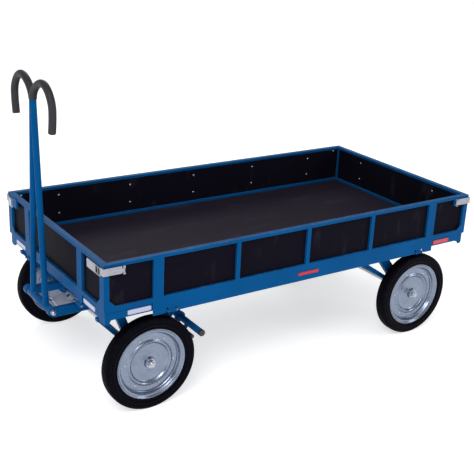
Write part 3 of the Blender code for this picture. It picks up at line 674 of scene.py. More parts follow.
# %% Finishes on the CAD pieces
FINISH_OF = {
    "blue_paint": blue_coat,
    "film_faced_plywood": side_film,
    "deck_plywood": deck_surface,
    "zinc_plate": bright_zinc,
    "tyre_rubber": tyre_black,
    "grip_rubber": grip_black,
    "black_plastic": cap_black,
}
for part in frame["record"]["subparts"]:
    node = frame["nodes"][part["node"]]
    node.data.materials.clear()
    node.data.materials.append(FINISH_OF[part["material_slot"]])
# the lock plate takes the paler copy: painted light for a plate that sits in shade
frame["nodes"]["lock_plate"].data.materials[0] = foot_zinc_painted_light

# %% [markdown]
# ## Corner latches
# Each long side carries two zinc levers. A lever is a flat pressed plate on an upright pin, with two raised
# ribs along it and a lip that wraps round the corner. Two ears on the side hold its pin. On the end wall a
# strike plate waits for it: a long plate with a window and a wire loop. All are cut from rounded plates.

# %% Corner latches
X, Y, Z = 0, 1, 2
LEVER_LOW, LEVER_HIGH = 0.6435, 0.6735
NECK_LOW, NECK_HIGH = 0.6467, 0.6643
PIN_LOW, PIN_HIGH = 0.6466, 0.6644
EAR_HEIGHTS = (0.6398, 0.6464), (0.6646, 0.6735)
RIB_HEIGHTS = 0.6525, 0.6645
KNUCKLE = 0.004  # radius of the pin, and how far the lever's box reaches past the pin's middle
EAR_CLEAR = 0.009  # from the pin's middle to the plate
STRIKE_LOW, STRIKE_HIGH = 0.6335, 0.6695
BLOCK_LOW, BLOCK_HIGH = 0.6440, 0.6650
WINDOW_LOW, WINDOW_HIGH = 0.6385, 0.6655
TONGUE_LOW, TONGUE_HIGH = 0.6370, 0.6670
LOOP_LOW, LOOP_HIGH, LOOP_BEND, WIRE_RADIUS = 0.6365, 0.6680, 0.005, 0.0014
LONG_STRIKE = 0.1  # a strike plate longer than this is one with a window


def rounded_plate(a, b, axis, corner):
    """A plate between two opposite corners, its edges along one axis rounded."""
    low = Vector([min(pair) for pair in zip(a, b)])
    high = Vector([max(pair) for pair in zip(a, b)])
    bm = bmesh.new()
    size = Matrix.Diagonal((*(high - low), 1.0))
    bmesh.ops.create_cube(bm, size=1.0, matrix=Matrix.Translation((low + high) / 2) @ size)
    edges = [e for e in bm.edges if abs((e.verts[0].co - e.verts[1].co)[axis]) > MERGE]
    bmesh.ops.bevel(bm, geom=edges, offset=corner, segments=4, affect="EDGES")
    return closed(bm)


def corner_lever(node, out, hand):
    """One lever. out is the way its side faces along y, and hand the way it points along x."""
    low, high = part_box(node)
    pin_x = high.x - KNUCKLE if hand < 0 else low.x + KNUCKLE
    tip_x = low.x if hand < 0 else high.x
    pin_y = low.y + KNUCKLE if out < 0 else high.y - KNUCKLE
    lip_y = high.y if out < 0 else low.y
    face, back = pin_y + out * 0.0020, pin_y - out * 0.0010
    start_x = pin_x + hand * EAR_CLEAR
    neck_x, lip_x = start_x + hand * 0.004, tip_x - hand * 0.003
    plate = rounded_plate((start_x, back, LEVER_LOW), (tip_x, face, LEVER_HIGH), Y, 0.0012)
    neck = rounded_plate((pin_x, back, NECK_LOW), (neck_x, face, NECK_HIGH), Y, 0.0006)
    lip = rounded_plate((lip_x, lip_y, LEVER_LOW), (tip_x, face, LEVER_HIGH), X, 0.0012)
    pin = straight_bar((pin_x, pin_y, PIN_LOW), (pin_x, pin_y, PIN_HIGH), KNUCKLE, 28, 0.0005)
    ribs = []
    for height in RIB_HEIGHTS:
        ends = [(x, face, height) for x in (start_x + hand * 0.008, tip_x - hand * 0.016)]
        ribs.append(straight_bar(*ends, 0.0011, 12, 0.0006))
    return combined(plate, [neck, lip, pin, *ribs]), pin_x, pin_y


for side, out in (("near", -1), ("far", 1)):
    ears = []
    for tag in "ab":
        node = f"{side}_latch_lever_{tag}"
        hand = -1 if middle(node).x < middle_x else 1
        mesh, pin_x, pin_y = corner_lever(node, out, hand)
        name, body = f"{side}_{tag}_corner_lever", f"{side}_latch_{tag}"
        settle(name, mesh, sheet_zinc, body, [node])
        front, back = pin_y + out * 0.0051, pin_y - out * 0.0040
        for ear_low, ear_high in EAR_HEIGHTS:
            one, other = (pin_x - 0.0057, front, ear_low), (pin_x + 0.0057, back, ear_high)
            ears.append(rounded_plate(one, other, Z, 0.0020))
    ears = combined(ears[0], ears[1:])
    settle(f"{side}_lever_ears", ears, sheet_zinc, f"{side}_side")


def wire_loop(x, y_from, y_to):
    """The sprung wire that the lever hooks under: three sides of a rounded frame."""
    turn_y = y_to - LOOP_BEND if y_to > y_from else y_to + LOOP_BEND
    path = [(y_from, LOOP_HIGH), (turn_y, LOOP_HIGH), (y_to, LOOP_HIGH - LOOP_BEND)]
    path += [(y_to, LOOP_LOW + LOOP_BEND), (turn_y, LOOP_LOW), (y_from, LOOP_LOW)]
    return swept([Vector((x, y, z)) for y, z in path], [WIRE_RADIUS] * len(path), 12)


def strike_plate(node, out, hand):
    """One strike plate. out is the way its wall faces along x, and hand the side it sits on along y."""
    low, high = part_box(node)
    inner, outer = (high.y, low.y) if hand < 0 else (low.y, high.y)
    face = low.x if out < 0 else high.x
    back = face - out * 0.0032

    def slab(depths, reaches, heights, corner):
        """A plate between two depths along x, two places along y and two heights."""
        return rounded_plate(*zip(depths, reaches, heights), X, corner)

    plate = slab((back, face), (inner, outer), (STRIKE_LOW, STRIKE_HIGH), 0.0025)
    depths = back + out * 0.0010, face - out * 0.0140
    reaches = inner + hand * 0.030, inner + hand * 0.068
    block = slab(depths, reaches, (BLOCK_LOW, BLOCK_HIGH), 0.001)
    depths = face + out * 0.005, face - out * 0.009
    reaches = outer - hand * 0.0045, outer - hand * 0.0450
    window = slab(depths, reaches, (WINDOW_LOW, WINDOW_HIGH), 0.0020)
    opened = combined(combined(plate, [block]), [window], "DIFFERENCE")
    tongue_y = outer - hand * 0.0270
    depths = back + out * 0.0004, face - out * 0.0006
    reaches = tongue_y, tongue_y + hand * 0.004
    tongue = slab(depths, reaches, (TONGUE_LOW, TONGUE_HIGH), 0.0005)
    loop = wire_loop(face + out * 0.0004, outer - hand * 0.0460, outer - hand * 0.0022)
    return combined(opened, [tongue, loop])


for wall, out in (("front", -1), ("rear", 1)):
    for tag in "ab":
        node = f"{wall}_latch_strike_{tag}"
        low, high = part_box(node)
        hand = -1 if middle(node).y < 0 else 1
        if high.y - low.y > LONG_STRIKE:
            mesh = strike_plate(node, out, hand)
            name, body = f"{wall}_{tag}_strike_plate", f"{wall}_side"
            settle(name, mesh, sheet_zinc, body, [node])
            print(wall, tag, "strike plate on hand", hand)

# %% [markdown]
# ## Tyres
# A solid trolley tyre is a thick ring: a tread with running grooves, round shoulders, and a sidewall with a
# raised band and a bead that grips the rim. One half of the outline is listed from the bead outwards, the
# grooves are added by a loop, and the whole is mirrored and spun about the axle.

# %% Tyres
GROOVES = (-0.0150, -0.0050, 0.0050, 0.0150)
GROOVE_WIDTH = 0.0024
GROOVE_DEPTH = 0.0022
TREAD_HALF = 0.0195
CROWN_DROP = 0.0012  # how much lower the tread is at its edges
SHOULDER_RISE = 0.0150
SHOULDER_STEPS = 6
BEAD_GAP = 0.0003


def tyre_outline(outer, bead, half):
    """(radius, height) round the tyre's section, from one bead over the tread to the other."""
    wall = [
        (bead + 0.0004, half - 0.0060),
        (bead + 0.0016, half - 0.0026),
        (bead + 0.0042, half - 0.0012),
        (bead + 0.0068, half - 0.0022),
        (bead + 0.0084, half - 0.0030),
        (bead + 0.0130, half - 0.0022),
        (bead + 0.0150, half - 0.0008),
        (bead + 0.0172, half),
        (bead + 0.0245, half),
        (bead + 0.0262, half - 0.0009),
        (bead + 0.0275, half - 0.0016),
        (bead + 0.0288, half - 0.0009),
    ]
    shoulder = []
    top, run = outer - CROWN_DROP, half - TREAD_HALF
    for step in range(SHOULDER_STEPS + 1):
        angle = (pi / 2) * step / SHOULDER_STEPS
        shoulder.append((top - SHOULDER_RISE * (1 - sin(angle)), TREAD_HALF + run * cos(angle)))
    side = wall + shoulder
    tread = []
    for groove in reversed(GROOVES):
        edge = GROOVE_WIDTH / 2
        crown = outer - CROWN_DROP * (groove / TREAD_HALF) ** 2
        tread.append((crown, groove + edge))
        tread.append((crown - GROOVE_DEPTH, groove + edge * 0.5))
        tread.append((crown - GROOVE_DEPTH, groove - edge * 0.5))
        tread.append((crown, groove - edge))
    return side + tread + [(r, -h) for r, h in reversed(side)]


WHEELS = {"front_near": -1, "front_far": 1, "rear_near": -1, "rear_far": 1}  # the way each looks along y
for wheel in WHEELS:
    low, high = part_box(f"{wheel}_tyre")
    centre = (low + high) / 2
    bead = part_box(f"{wheel}_rim")[1].x - centre.x + BEAD_GAP
    outline = tyre_outline((high.x - low.x) / 2, bead, (high.y - low.y) / 2)
    mesh = with_radius(turned(outline, centre, 144), centre)
    name, body = f"{wheel}_ribbed_tyre", f"{wheel}_wheel"
    settle(name, mesh, tyre_black, body, [f"{wheel}_tyre"])
print("tyre outline has", len(outline), "points")

# %% [markdown]
# ## Rims
# The rim is pressed from steel sheet. From its edge inwards it has a rolled flange that holds the tyre, a
# dished step, a flat band with small embossed bosses, a ring pressed out for stiffness, and a flat centre
# round the hub. Its face is a list of (share of the radius, height), its back follows one sheet behind,
# and with the hub sleeve and the flange they close the section.

# %% Rims
RIM_FACE = [  # share of the rim's radius, height from the wheel's middle towards the outside
    (0.150, 0.0060),
    (0.156, 0.0030),
    (0.172, 0.0016),
    (0.200, 0.0012),
    (0.400, 0.0014),
    (0.520, 0.0020),
    (0.545, 0.0034),
    (0.565, 0.0074),
    (0.585, 0.0116),
    (0.605, 0.0136),
    (0.628, 0.0130),
    (0.650, 0.0098),
    (0.668, 0.0066),
    (0.690, 0.0056),
    (0.780, 0.0056),
    (0.835, 0.0060),
    (0.850, 0.0048),
    (0.862, 0.0060),
    (0.876, 0.0110),
    (0.890, 0.0168),
    (0.905, 0.0196),
    (0.930, 0.0206),
    (0.948, 0.0200),
    (0.960, 0.0214),
    (0.974, 0.0244),
    (0.986, 0.0254),
    (1.000, 0.0250),
]
SHEET = 0.0030
HUB_BORE = 0.0130
HUB_HEIGHT = 0.0140


def rim_outline(radius, bore, half):
    face = [(share * radius, height) for share, height in RIM_FACE]
    hub = [(bore, HUB_HEIGHT), (0.0205, HUB_HEIGHT), (0.0218, HUB_HEIGHT - 0.0008)]
    flange = [(radius, 0.0150), (radius, -half + 0.0080), (radius - 0.0012, -half + 0.0066)]
    flange += [(radius - 0.0050, -half + 0.0066), (radius - 0.0062, -half + 0.0080)]
    back = [(radius * 0.958, -0.0060), (radius * 0.940, 0.0090), (radius * 0.912, 0.0130)]
    back += [(share * radius, height - SHEET) for share, height in reversed(RIM_FACE[4:17:2])]
    sleeve = [(0.0270, -0.0020), (0.0240, -0.0050), (0.0240, -half + 0.0025), (0.0225, -half + 0.0020)]
    return hub + face + flange + back + sleeve + [(bore, -half + 0.0020)]


for wheel, side in WHEELS.items():
    low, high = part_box(f"{wheel}_rim")
    centre = middle(f"{wheel}_tyre")
    tyre_low, tyre_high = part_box(f"{wheel}_tyre")
    outline = rim_outline((high.x - low.x) / 2, HUB_BORE, (tyre_high.y - tyre_low.y) / 2)
    mesh = with_radius(turned([(r, side * h) for r, h in outline], centre, 144), centre)
    name, body = f"{wheel}_pressed_rim", f"{wheel}_wheel"
    settle(name, mesh, spun_zinc, body, [f"{wheel}_rim"])
print("rim outline has", len(outline), "points")

# %% [markdown]
# ## Axle nuts
# Each wheel is held by a washer and a hexagon nut on the threaded end of the axle. A real nut is a hexagon
# with its corners turned off, so it is made as a hexagonal prism cut back by a turned barrel. The thread is
# a row of fine rings.

# %% Axle nuts
NUT_TURN = 0.3
NUT_ACROSS, NUT_LOW, NUT_HIGH = 0.0285, 0.0022, 0.0138
STUD_RADIUS, STUD_LOW, STUD_PITCH = 0.0102, 0.0100, 0.0022
WASHER = (  # radius, height
    (0.0130, 0.0),
    (0.0195, 0.0),
    (0.0200, 0.0006),
    (0.0200, 0.0020),
    (0.0193, 0.0026),
    (0.0130, 0.0026),
)
WASHER_CORE = 0.0131  # a plug that fills the washer's hole


def hexagon(centre, across, low, high, side):
    """A chamfered hexagon nut along y, between two heights measured outwards from the centre."""
    bm = bmesh.new()
    corner = across / 3**0.5
    rings = []
    for height in (low, high):
        ring = []
        for step in range(6):
            angle = pi / 3 * step + NUT_TURN
            offset = Vector((corner * cos(angle), side * height, corner * sin(angle)))
            ring.append(bm.verts.new(centre + offset))
        rings.append(ring)
    bm.faces.new(rings[0])
    bm.faces.new(rings[1])
    bridge(bm, *rings)
    rim = across / 2
    bevel = (corner - rim) * 0.6
    barrel = [(rim * 0.97, low - 0.0001), (corner, low + bevel)]
    barrel += [(corner, high - bevel), (rim * 0.97, high + 0.0001)]
    turned_barrel = turned([(r, side * h) for r, h in barrel], centre, 64, loop=False)
    return combined(closed(bm), [turned_barrel], "INTERSECT")


def thread(radius, low, high, pitch):
    """The (radius, height) outline of a threaded end, from its root to its tip."""
    outline = [(radius, low)]
    height = low + pitch
    while height < high - pitch:
        outline += [(radius, height), (radius * 0.90, height + pitch * 0.5)]
        height += pitch
    return outline + [(radius, high - pitch * 0.6), (radius * 0.80, high)]


for wheel, side in WHEELS.items():
    low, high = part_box(f"{wheel}_axle_nut")
    centre = middle(f"{wheel}_tyre")
    centre.y = low.y if side > 0 else high.y
    depth = high.y - low.y
    ring = turned([(r, side * h) for r, h in WASHER], centre, 64)
    core = [(WASHER_CORE, 0.0), (WASHER_CORE, side * 0.0024)]
    core = turned(core, centre, 64, loop=False)
    nut = hexagon(centre, NUT_ACROSS, NUT_LOW, NUT_HIGH, side)
    tip = [(r, side * h) for r, h in thread(STUD_RADIUS, STUD_LOW, depth, STUD_PITCH)]
    stud = turned(tip, centre, 48, loop=False)
    mesh = combined(ring, [core, nut, stud])
    body = "bogie" if wheel.startswith("front") else "chassis"
    settle(f"{wheel}_hub_nut", mesh, bright_zinc, body, [f"{wheel}_axle_nut"])
print("hub nut is", round(depth * 1000, 1), "mm deep")

# %% [markdown]
# ## Turntable and axles
# The two races of the turntable and the two axle bars are plain turned steel. They take the place of their
# coarser CAD pieces with the same outlines and rounder sections.

# %% Turntable and axles
RACE_INNER = 0.125
RACE_STEP = 0.008
RACE_EDGE = 0.001


def race(node, name, body, step_up):
    """One race: a ring with a step half way up, wider at the top or at the bottom."""
    low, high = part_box(node)
    centre = (low + high) / 2
    outer = (high.x - low.x) / 2
    half = (high.z - low.z) / 2
    wide, narrow = outer, outer - RACE_STEP
    bottom, top = (narrow, wide) if step_up else (wide, narrow)
    outline = [(RACE_INNER, -half + RACE_EDGE), (RACE_INNER + RACE_EDGE, -half)]
    outline += [(bottom - RACE_EDGE, -half), (bottom, -half + RACE_EDGE), (bottom, 0)]
    outline += [(top, 0), (top, half - RACE_EDGE), (top - RACE_EDGE, half)]
    outline += [(RACE_INNER + RACE_EDGE, half), (RACE_INNER, half - RACE_EDGE)]
    mesh = turned(outline, centre, 120, along="Z")
    settle(name, mesh, bright_zinc, body, [node])


race("slew_ring_upper", "turntable_upper_race", "chassis", True)
race("slew_ring_lower", "turntable_lower_race", "bogie", False)
for node, body in (("front_axle", "bogie"), ("rear_axle", "chassis")):
    low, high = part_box(node)
    x, z = middle(node).x, middle(node).z
    mesh = straight_bar((x, low.y, z), (x, high.y, z), (high.x - low.x) / 2, 48, 0.0015)
    settle(f"{node}_bar", mesh, bright_zinc, body, [node])

# %% [markdown]
# ## Hand grips
# Each grip is a steel tube bent like a ram's horn, up and over and down, under a rubber sleeve. Its centre
# line is a Bezier curve through four knots, and a round section is swept along it. The sleeve thins a
# little at its open end. The two sleeves meet at the top of the drawbar, so each is cut off at the middle.

# %% Hand grips
GRIP_RADIUS = 0.0155
GRIP_KNOTS = [  # out from the middle, height over the foot, heading from sideways in degrees, reach
    (0.0035, 0.0, 90, 0.035),
    (0.106, None, 0, 0.050),  # None is the height of the grip's crown
    (0.1945, -0.0103, -90, 0.038),
    (0.185, -0.0978, -99, 0.030),
]
SPAN_STEPS = 22
GRIP_GAP = 0.0003  # between the two sleeves, and over the drawbar's top


def grip_path(node, side, foot):
    """The centre line of one grip, from its foot out and over to its open end."""
    low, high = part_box(node)
    crown = high.z - GRIP_RADIUS
    x = (low.x + high.x) / 2
    knots = []
    for out, rise, heading, reach in GRIP_KNOTS:
        height = crown if rise is None else foot + rise
        at = Vector((x, side * out, height))
        step = Vector((0, side * cos(radians(heading)), sin(radians(heading)))) * reach
        knots.append((at, step))
    path = []
    for (a, a_step), (b, b_step) in zip(knots, knots[1:]):
        path += interpolate_bezier(a, a + a_step, b - b_step, b, SPAN_STEPS)[:-1]
    path.append(knots[-1][0])
    return path


for tag, side in (("near", -1), ("far", 1)):
    path = grip_path(f"hand_grip_{tag}", side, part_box("drawbar_frame")[1].z + GRIP_GAP)
    last = path[-1]
    inward = (path[-2] - last).normalized()
    path = path[:-1] + [last + inward * 0.0030, last + inward * 0.0012, last]
    radii = [GRIP_RADIUS] * (len(path) - 2) + [GRIP_RADIUS - 0.0006, GRIP_RADIUS - 0.0022]
    bm = bmesh.new()
    bm.from_mesh(swept(path, radii, 40))
    everything = bm.verts[:] + bm.edges[:] + bm.faces[:]
    plane = {"plane_co": (0, side * GRIP_GAP / 2, 0), "plane_no": (0, -side, 0)}
    cut = bmesh.ops.bisect_plane(bm, geom=everything, **plane, clear_outer=True)
    rim_edges = [e for e in cut["geom_cut"] if isinstance(e, bmesh.types.BMEdge)]
    bmesh.ops.holes_fill(bm, edges=rim_edges, sides=0)
    name, node = f"{tag}_grip_sleeve", f"hand_grip_{tag}"
    settle(name, closed(bm), grip_black, "drawbar", [node])
    length = sum((b - a).length for a, b in zip(path, path[1:]))
    print(tag, "grip is", round(length, 3), "m long")

# %% [markdown]
# ## Drawbar
# Two steel tubes stand on a crossbar and lean together until they touch under the grips, where a short
# collar holds them. They are swept as round bars, joined to the crossbar by one Boolean, and bored for the
# pivot bolt.

# %% Drawbar
TUBE_RADIUS = 0.0132
TUBE_FOOT, TUBE_TOP = 0.070, 0.003  # from the middle to each tube at its foot and at its top
CROSSBAR_RADIUS = 0.0175
COLLAR = 0.030
BORE_RADIUS, BORE_HALF = 0.0085, 0.2


def drawbar():
    low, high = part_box("drawbar_frame")
    x = (low.x + high.x) / 2
    foot_z = low.z + CROSSBAR_RADIUS
    bar = straight_bar((x, low.y, foot_z), (x, high.y, foot_z), CROSSBAR_RADIUS, 48, 0.0012)
    tubes = []
    for side in (-1, 1):
        start, end = (x, side * TUBE_FOOT, foot_z), (x, side * TUBE_TOP, high.z - 0.004)
        tubes.append(straight_bar(start, end, TUBE_RADIUS, 40))
    ends = (x, 0, high.z - COLLAR), (x, 0, high.z)
    collar = straight_bar(*ends, TUBE_RADIUS + 0.0015, 40, 0.0008)
    ends = (x, -BORE_HALF, foot_z), (x, BORE_HALF, foot_z)
    bore = straight_bar(*ends, BORE_RADIUS, 32)
    return combined(combined(bar, [*tubes, collar]), [bore], "DIFFERENCE")


settle("drawbar_tubes", drawbar(), blue_coat, "drawbar", ["drawbar_frame"])

# %% [markdown]
# ## Drawbar pivot bolt
# One long bolt runs through both arms of the bogie and the crossbar, with a washer at each side, a
# hexagon head at one end and a nut on a threaded tip at the other.

# %% Drawbar pivot bolt
ARM_FACE = 0.140  # from the middle to the outer face of each arm
BOLT_GAP = 0.0003
BOLT_RADIUS, BOLT_PITCH = 0.0080, 0.0018
BOLT_HEX, BOLT_HEX_LOW, BOLT_HEX_HIGH = 0.0180, 0.0020, 0.0105
LONG_END = 0.0150  # an end that sticks out further than this is the threaded one


def pivot_bolt():
    low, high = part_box("drawbar_pivot_bolt")
    centre = (low + high) / 2
    half = ARM_FACE + 0.010
    ends = (centre.x, -half, centre.z), (centre.x, half, centre.z)
    shank = straight_bar(*ends, BOLT_RADIUS, 40)
    pieces = []
    for side, tip in ((-1, -low.y), (1, high.y)):
        outside = Vector((centre.x, side * (ARM_FACE + BOLT_GAP), centre.z))
        washer = [(0.0120, 0.0), (0.0120, side * 0.0022)]
        pieces.append(turned(washer, outside, 56, loop=False))
        pieces.append(hexagon(outside, BOLT_HEX, BOLT_HEX_LOW, BOLT_HEX_HIGH, side))
        reach = tip - ARM_FACE - BOLT_GAP
        if reach > LONG_END:
            end = thread(BOLT_RADIUS, 0.0060, reach, BOLT_PITCH)
        else:
            end = [(0.0070, 0.0060), (0.0070, reach * 0.95), (0.0050, reach)]
        pieces.append(turned([(r, side * h) for r, h in end], outside, 40, loop=False))
    return combined(shank, pieces)


settle("drawbar_bolt", pivot_bolt(), bright_zinc, "bogie", ["drawbar_pivot_bolt"])

# %% [markdown]
# ## Brake shaft
# The brake is a thick shaft across the bogie. Two short cranks on it carry a thinner bar, which presses on
# the front tyres when the drawbar stands upright. Each crank is a flat link with round ends.

# %% Brake shaft
CRANK_HALF = 0.004
CRANK_WIDTH = 0.009
SHOE_RADIUS = 0.0095
CRANK_PLACES = -0.375, 0.375
CRANK_STEPS = 12
CAP_GAP = 0.0003


def link(a, b, y, half_width, half_thickness):
    """A flat plate with round ends, from one axis to another in the xz plane."""
    bm = bmesh.new()
    along = (b - a).normalized()
    outline = []
    for centre, turn in ((a, pi), (b, 0.0)):
        for step in range(CRANK_STEPS + 1):
            angle = turn - pi / 2 + pi * step / CRANK_STEPS
            direction = along * cos(angle) + along.orthogonal() * sin(angle)
            outline.append(centre + direction * half_width)
    sides = (-half_thickness, half_thickness)
    rings = [[bm.verts.new((p.x, y + d, p.y)) for p in outline] for d in sides]
    bm.faces.new(rings[0])
    bm.faces.new(rings[1])
    bridge(bm, *rings)
    return closed(bm)


def brake_shaft():
    low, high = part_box("brake_bar")
    shaft = middle("brake_shaft_cap_near")
    shoe = middle("brake_shoe_cap_near")
    radius = high.z - shaft.z
    shoe_end = -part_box("brake_shoe_cap_near")[1].y - CAP_GAP
    ends = (shaft.x, low.y, shaft.z), (shaft.x, high.y, shaft.z)
    main_bar = straight_bar(*ends, radius, 40, 0.001)
    ends = (shoe.x, -shoe_end, shoe.z), (shoe.x, shoe_end, shoe.z)
    pieces = [straight_bar(*ends, SHOE_RADIUS, 32, 0.001)]
    for y in CRANK_PLACES:
        pieces.append(link(shaft.xz, shoe.xz, y, CRANK_WIDTH, CRANK_HALF))
    return combined(main_bar, pieces)


settle("brake_shaft", brake_shaft(), blue_coat, "brake", ["brake_bar"])

# %% [markdown]
# ## Brake caps
# Moulded plastic caps close the ends of both brake bars. Each is turned from an outline with a rounded
# outer edge.

# %% Brake caps
CAP_ROUND = 0.003
CAP_STEPS = 5
CAP_LIP = 0.0006
for bar in ("shaft", "shoe"):
    for tag, side in (("near", -1), ("far", 1)):
        node = f"brake_{bar}_cap_{tag}"
        low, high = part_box(node)
        centre = (low + high) / 2
        radius, half = (high.z - low.z) / 2, (high.y - low.y) / 2
        outline = [(radius - CAP_LIP, -half), (radius, -half + CAP_LIP)]
        for step in range(CAP_STEPS + 1):
            angle = pi / 2 * step / CAP_STEPS
            inwards, down = CAP_ROUND * (1 - cos(angle)), CAP_ROUND * (1 - sin(angle))
            outline.append((radius - inwards, half - down))
        mesh = turned([(r, side * h) for r, h in outline], centre, 48, loop=False)
        settle(f"{bar}_cap_{tag}", mesh, cap_black, "brake", [node])

# %% [markdown]
# ## A rule for screws and rivets
# Dozens of small round heads hold the panels. Geometry Nodes repeat one head at every marked point: the
# points carry a `facing` direction, each head is turned to it, and the instances are made real at the end.
# `Height` and `Recess` are shares of the radius: how tall the dome is, and how deep its cross is cut.

# %% A rule for screws and rivets


class Rule:
    """A Geometry Nodes tree with named inputs, built in the same way as a finish."""

    def __init__(self, name, numbers):
        self.tree = bpy.data.node_groups.new(name, "GeometryNodeTree")
        sockets = self.tree.interface
        sockets.new_socket("Geometry", in_out="INPUT", socket_type="NodeSocketGeometry")
        for label, value in numbers.items():
            made = sockets.new_socket(label, in_out="INPUT", socket_type="NodeSocketFloat")
            made.default_value = value
        sockets.new_socket("Material", in_out="INPUT", socket_type="NodeSocketMaterial")
        sockets.new_socket("Geometry", in_out="OUTPUT", socket_type="NodeSocketGeometry")
        self.given = self.tree.nodes.new("NodeGroupInput").outputs
        self.result = self.tree.nodes.new("NodeGroupOutput").inputs[0]

    def node(self, kind, settings=None, sockets=None):
        return add_node(self.tree, kind, settings, sockets)

    def number(self, label):
        return Signal(self.tree, self.given[label])

    def close(self, instances):
        real = self.node("GeometryNodeRealizeInstances", None, {0: instances})
        sockets = {0: real, "Material": self.given["Material"]}
        feed(self.tree, self.result, self.node("GeometryNodeSetMaterial", None, sockets))
        return self

    def apply(self, mesh, material, **values):
        """Runs the rule on a mesh of marks, and returns the result as a plain mesh."""
        holder = placed("marks", mesh)
        modifier = holder.modifiers.new("rule", "NODES")
        modifier.node_group = self.tree
        wanted = {"Material": material, **values}
        for item in self.tree.interface.items_tree:
            if item.in_out == "INPUT" and item.name in wanted:
                modifier[item.identifier] = wanted[item.name]
        bpy.context.view_layer.update()
        shown = holder.evaluated_get(bpy.context.evaluated_depsgraph_get())
        made = bpy.data.meshes.new_from_object(shown)
        bpy.data.objects.remove(holder, do_unlink=True)
        return made


def head_rule():
    """A low dome for each point, with a cross cut into it."""
    rule = Rule("round_heads", {"Radius": 0.004, "Height": 0.55, "Recess": 0.0})
    height, recess, size = (rule.number(label) for label in ("Height", "Recess", "Radius"))
    ball = {"Segments": 20, "Rings": 12, "Radius": 1.0}
    ball = rule.node("GeometryNodeMeshUVSphere", None, ball)
    flat = rule.node("ShaderNodeCombineXYZ", None, {"X": 1.0, "Y": 1.0, "Z": height})
    dome = rule.node("GeometryNodeTransform", None, {"Geometry": ball, "Scale": flat})
    lift = rule.node("ShaderNodeCombineXYZ", None, {"Z": height + 0.5 - recess})
    bars = rule.node("GeometryNodeJoinGeometry")
    for arm in ((1.15, 0.20, 1.0), (0.20, 1.15, 1.0)):
        feed(rule.tree, bars.inputs[0], rule.node("GeometryNodeMeshCube", None, {"Size": arm}))
    cutter = rule.node("GeometryNodeTransform", None, {"Geometry": bars, "Translation": lift})
    cut = {"Mesh 1": dome, "Mesh 2": cutter}
    head = rule.node("GeometryNodeMeshBoolean", {"operation": "DIFFERENCE"}, cut)
    read = {"data_type": "FLOAT_VECTOR"}
    facing = rule.node("GeometryNodeInputNamedAttribute", read, {"Name": "facing"})
    turn = rule.node("FunctionNodeAlignRotationToVector", {"axis": "Z"}, {"Vector": facing})
    scale = rule.node("ShaderNodeCombineXYZ", None, {"X": size, "Y": size, "Z": size})
    points = rule.node("GeometryNodeMeshToPoints", None, {0: rule.given["Geometry"]})
    spread = {"Points": points, "Instance": head, "Rotation": turn, "Scale": scale}
    return rule.close(rule.node("GeometryNodeInstanceOnPoints", None, spread))


def marks(places):
    """A mesh of bare points from a list of (place, facing)."""
    mesh = bpy.data.meshes.new("marks")
    mesh.from_pydata([tuple(place) for place, _ in places], [], [])
    facing = mesh.attributes.new("facing", "FLOAT_VECTOR", "POINT")
    facing.data.foreach_set("vector", [part for _, way in places for part in way])
    return mesh


heads = head_rule()

# %% [markdown]
# ## Screws and rivets on the sides
# Behind each upright stake two screws hold the panel, one near the top and one near the bottom. Inside they
# show as small bright domes with a cross recess, and outside as low rivet heads on the stake. The screws
# sit on the inner face of each panel, and their places along a side are the places of its stakes.

# %% Screws and rivets on the sides
LONG_STAKES = (-0.742, -0.366, 0.0, 0.366, 0.742)
END_STAKES = (-0.275, 0.275)
SCREW_HEIGHTS = (0.640, 0.550)
CORNER_SCREWS, CORNER_SCREW_Z = (-0.926, 0.926), 0.663
PANEL_DEPTH = 0.0213  # from a side's outer face to the inner face of its panel
SIDE_WAYS = {  # body: direction out of the load bed
    "near_side": Vector((0, -1, 0)),
    "far_side": Vector((0, 1, 0)),
    "front_side": Vector((-1, 0, 0)),
    "rear_side": Vector((1, 0, 0)),
}


def on_wall(out, along, height, depth):
    """A point on one side: along it from the middle, at a height, and inwards from its outer face."""
    if out.y:
        face = far_face if out.y > 0 else near_face
        return Vector((middle_x + along, face - out.y * depth, height))
    face = rear_face if out.x > 0 else front_face
    return Vector((face - out.x * depth, along, height))


for side, out in SIDE_WAYS.items():
    stakes = LONG_STAKES if out.y else END_STAKES
    places = [(along, z) for along in stakes for z in SCREW_HEIGHTS]
    outside = [(on_wall(out, along, z, 0.0), out) for along, z in places]
    if out.y:
        places += [(along, CORNER_SCREW_Z) for along in CORNER_SCREWS]
    inside = [(on_wall(out, along, z, PANEL_DEPTH), -out) for along, z in places]
    mesh = heads.apply(marks(inside), bright_zinc, Radius=0.0055, Recess=0.20)
    settle(f"{side}_screws", mesh, bright_zinc, side)
    mesh = heads.apply(marks(outside), blue_coat, Radius=0.0042, Height=0.40)
    settle(f"{side}_rivets", mesh, blue_coat, side)
    print(side, "has", len(inside), "screws and", len(outside), "rivets")

# %% [markdown]
# ## Marks on the rims
# Six small bosses are embossed in the flat band of each rim. The same rule of round heads makes them,
# placed on a circle about the axle.

# %% Marks on the rims
BOSS_CIRCLE = 0.113
BOSS_COUNT = 6
BOSS_FACE = 0.0058
BOSS_START = radians(-6)
for wheel, side in WHEELS.items():
    centre = middle(f"{wheel}_tyre")
    places = []
    for step in range(BOSS_COUNT):
        angle = 2 * pi * step / BOSS_COUNT + BOSS_START
        offset = Vector((BOSS_CIRCLE * cos(angle), side * BOSS_FACE, BOSS_CIRCLE * sin(angle)))
        places.append((centre + offset, Vector((0, side, 0))))
    mesh = heads.apply(marks(places), bright_zinc, Radius=0.0052, Height=0.60)
    settle(f"{wheel}_rim_bosses", mesh, bright_zinc, f"{wheel}_wheel")

# %% [markdown]
# ## Reflectors
# White strips sit at the front end and red strips at the rear. Geometry Nodes lay a grid over the strip and
# put a low four-sided prism in each cell, on a thin tray with a raised lip.

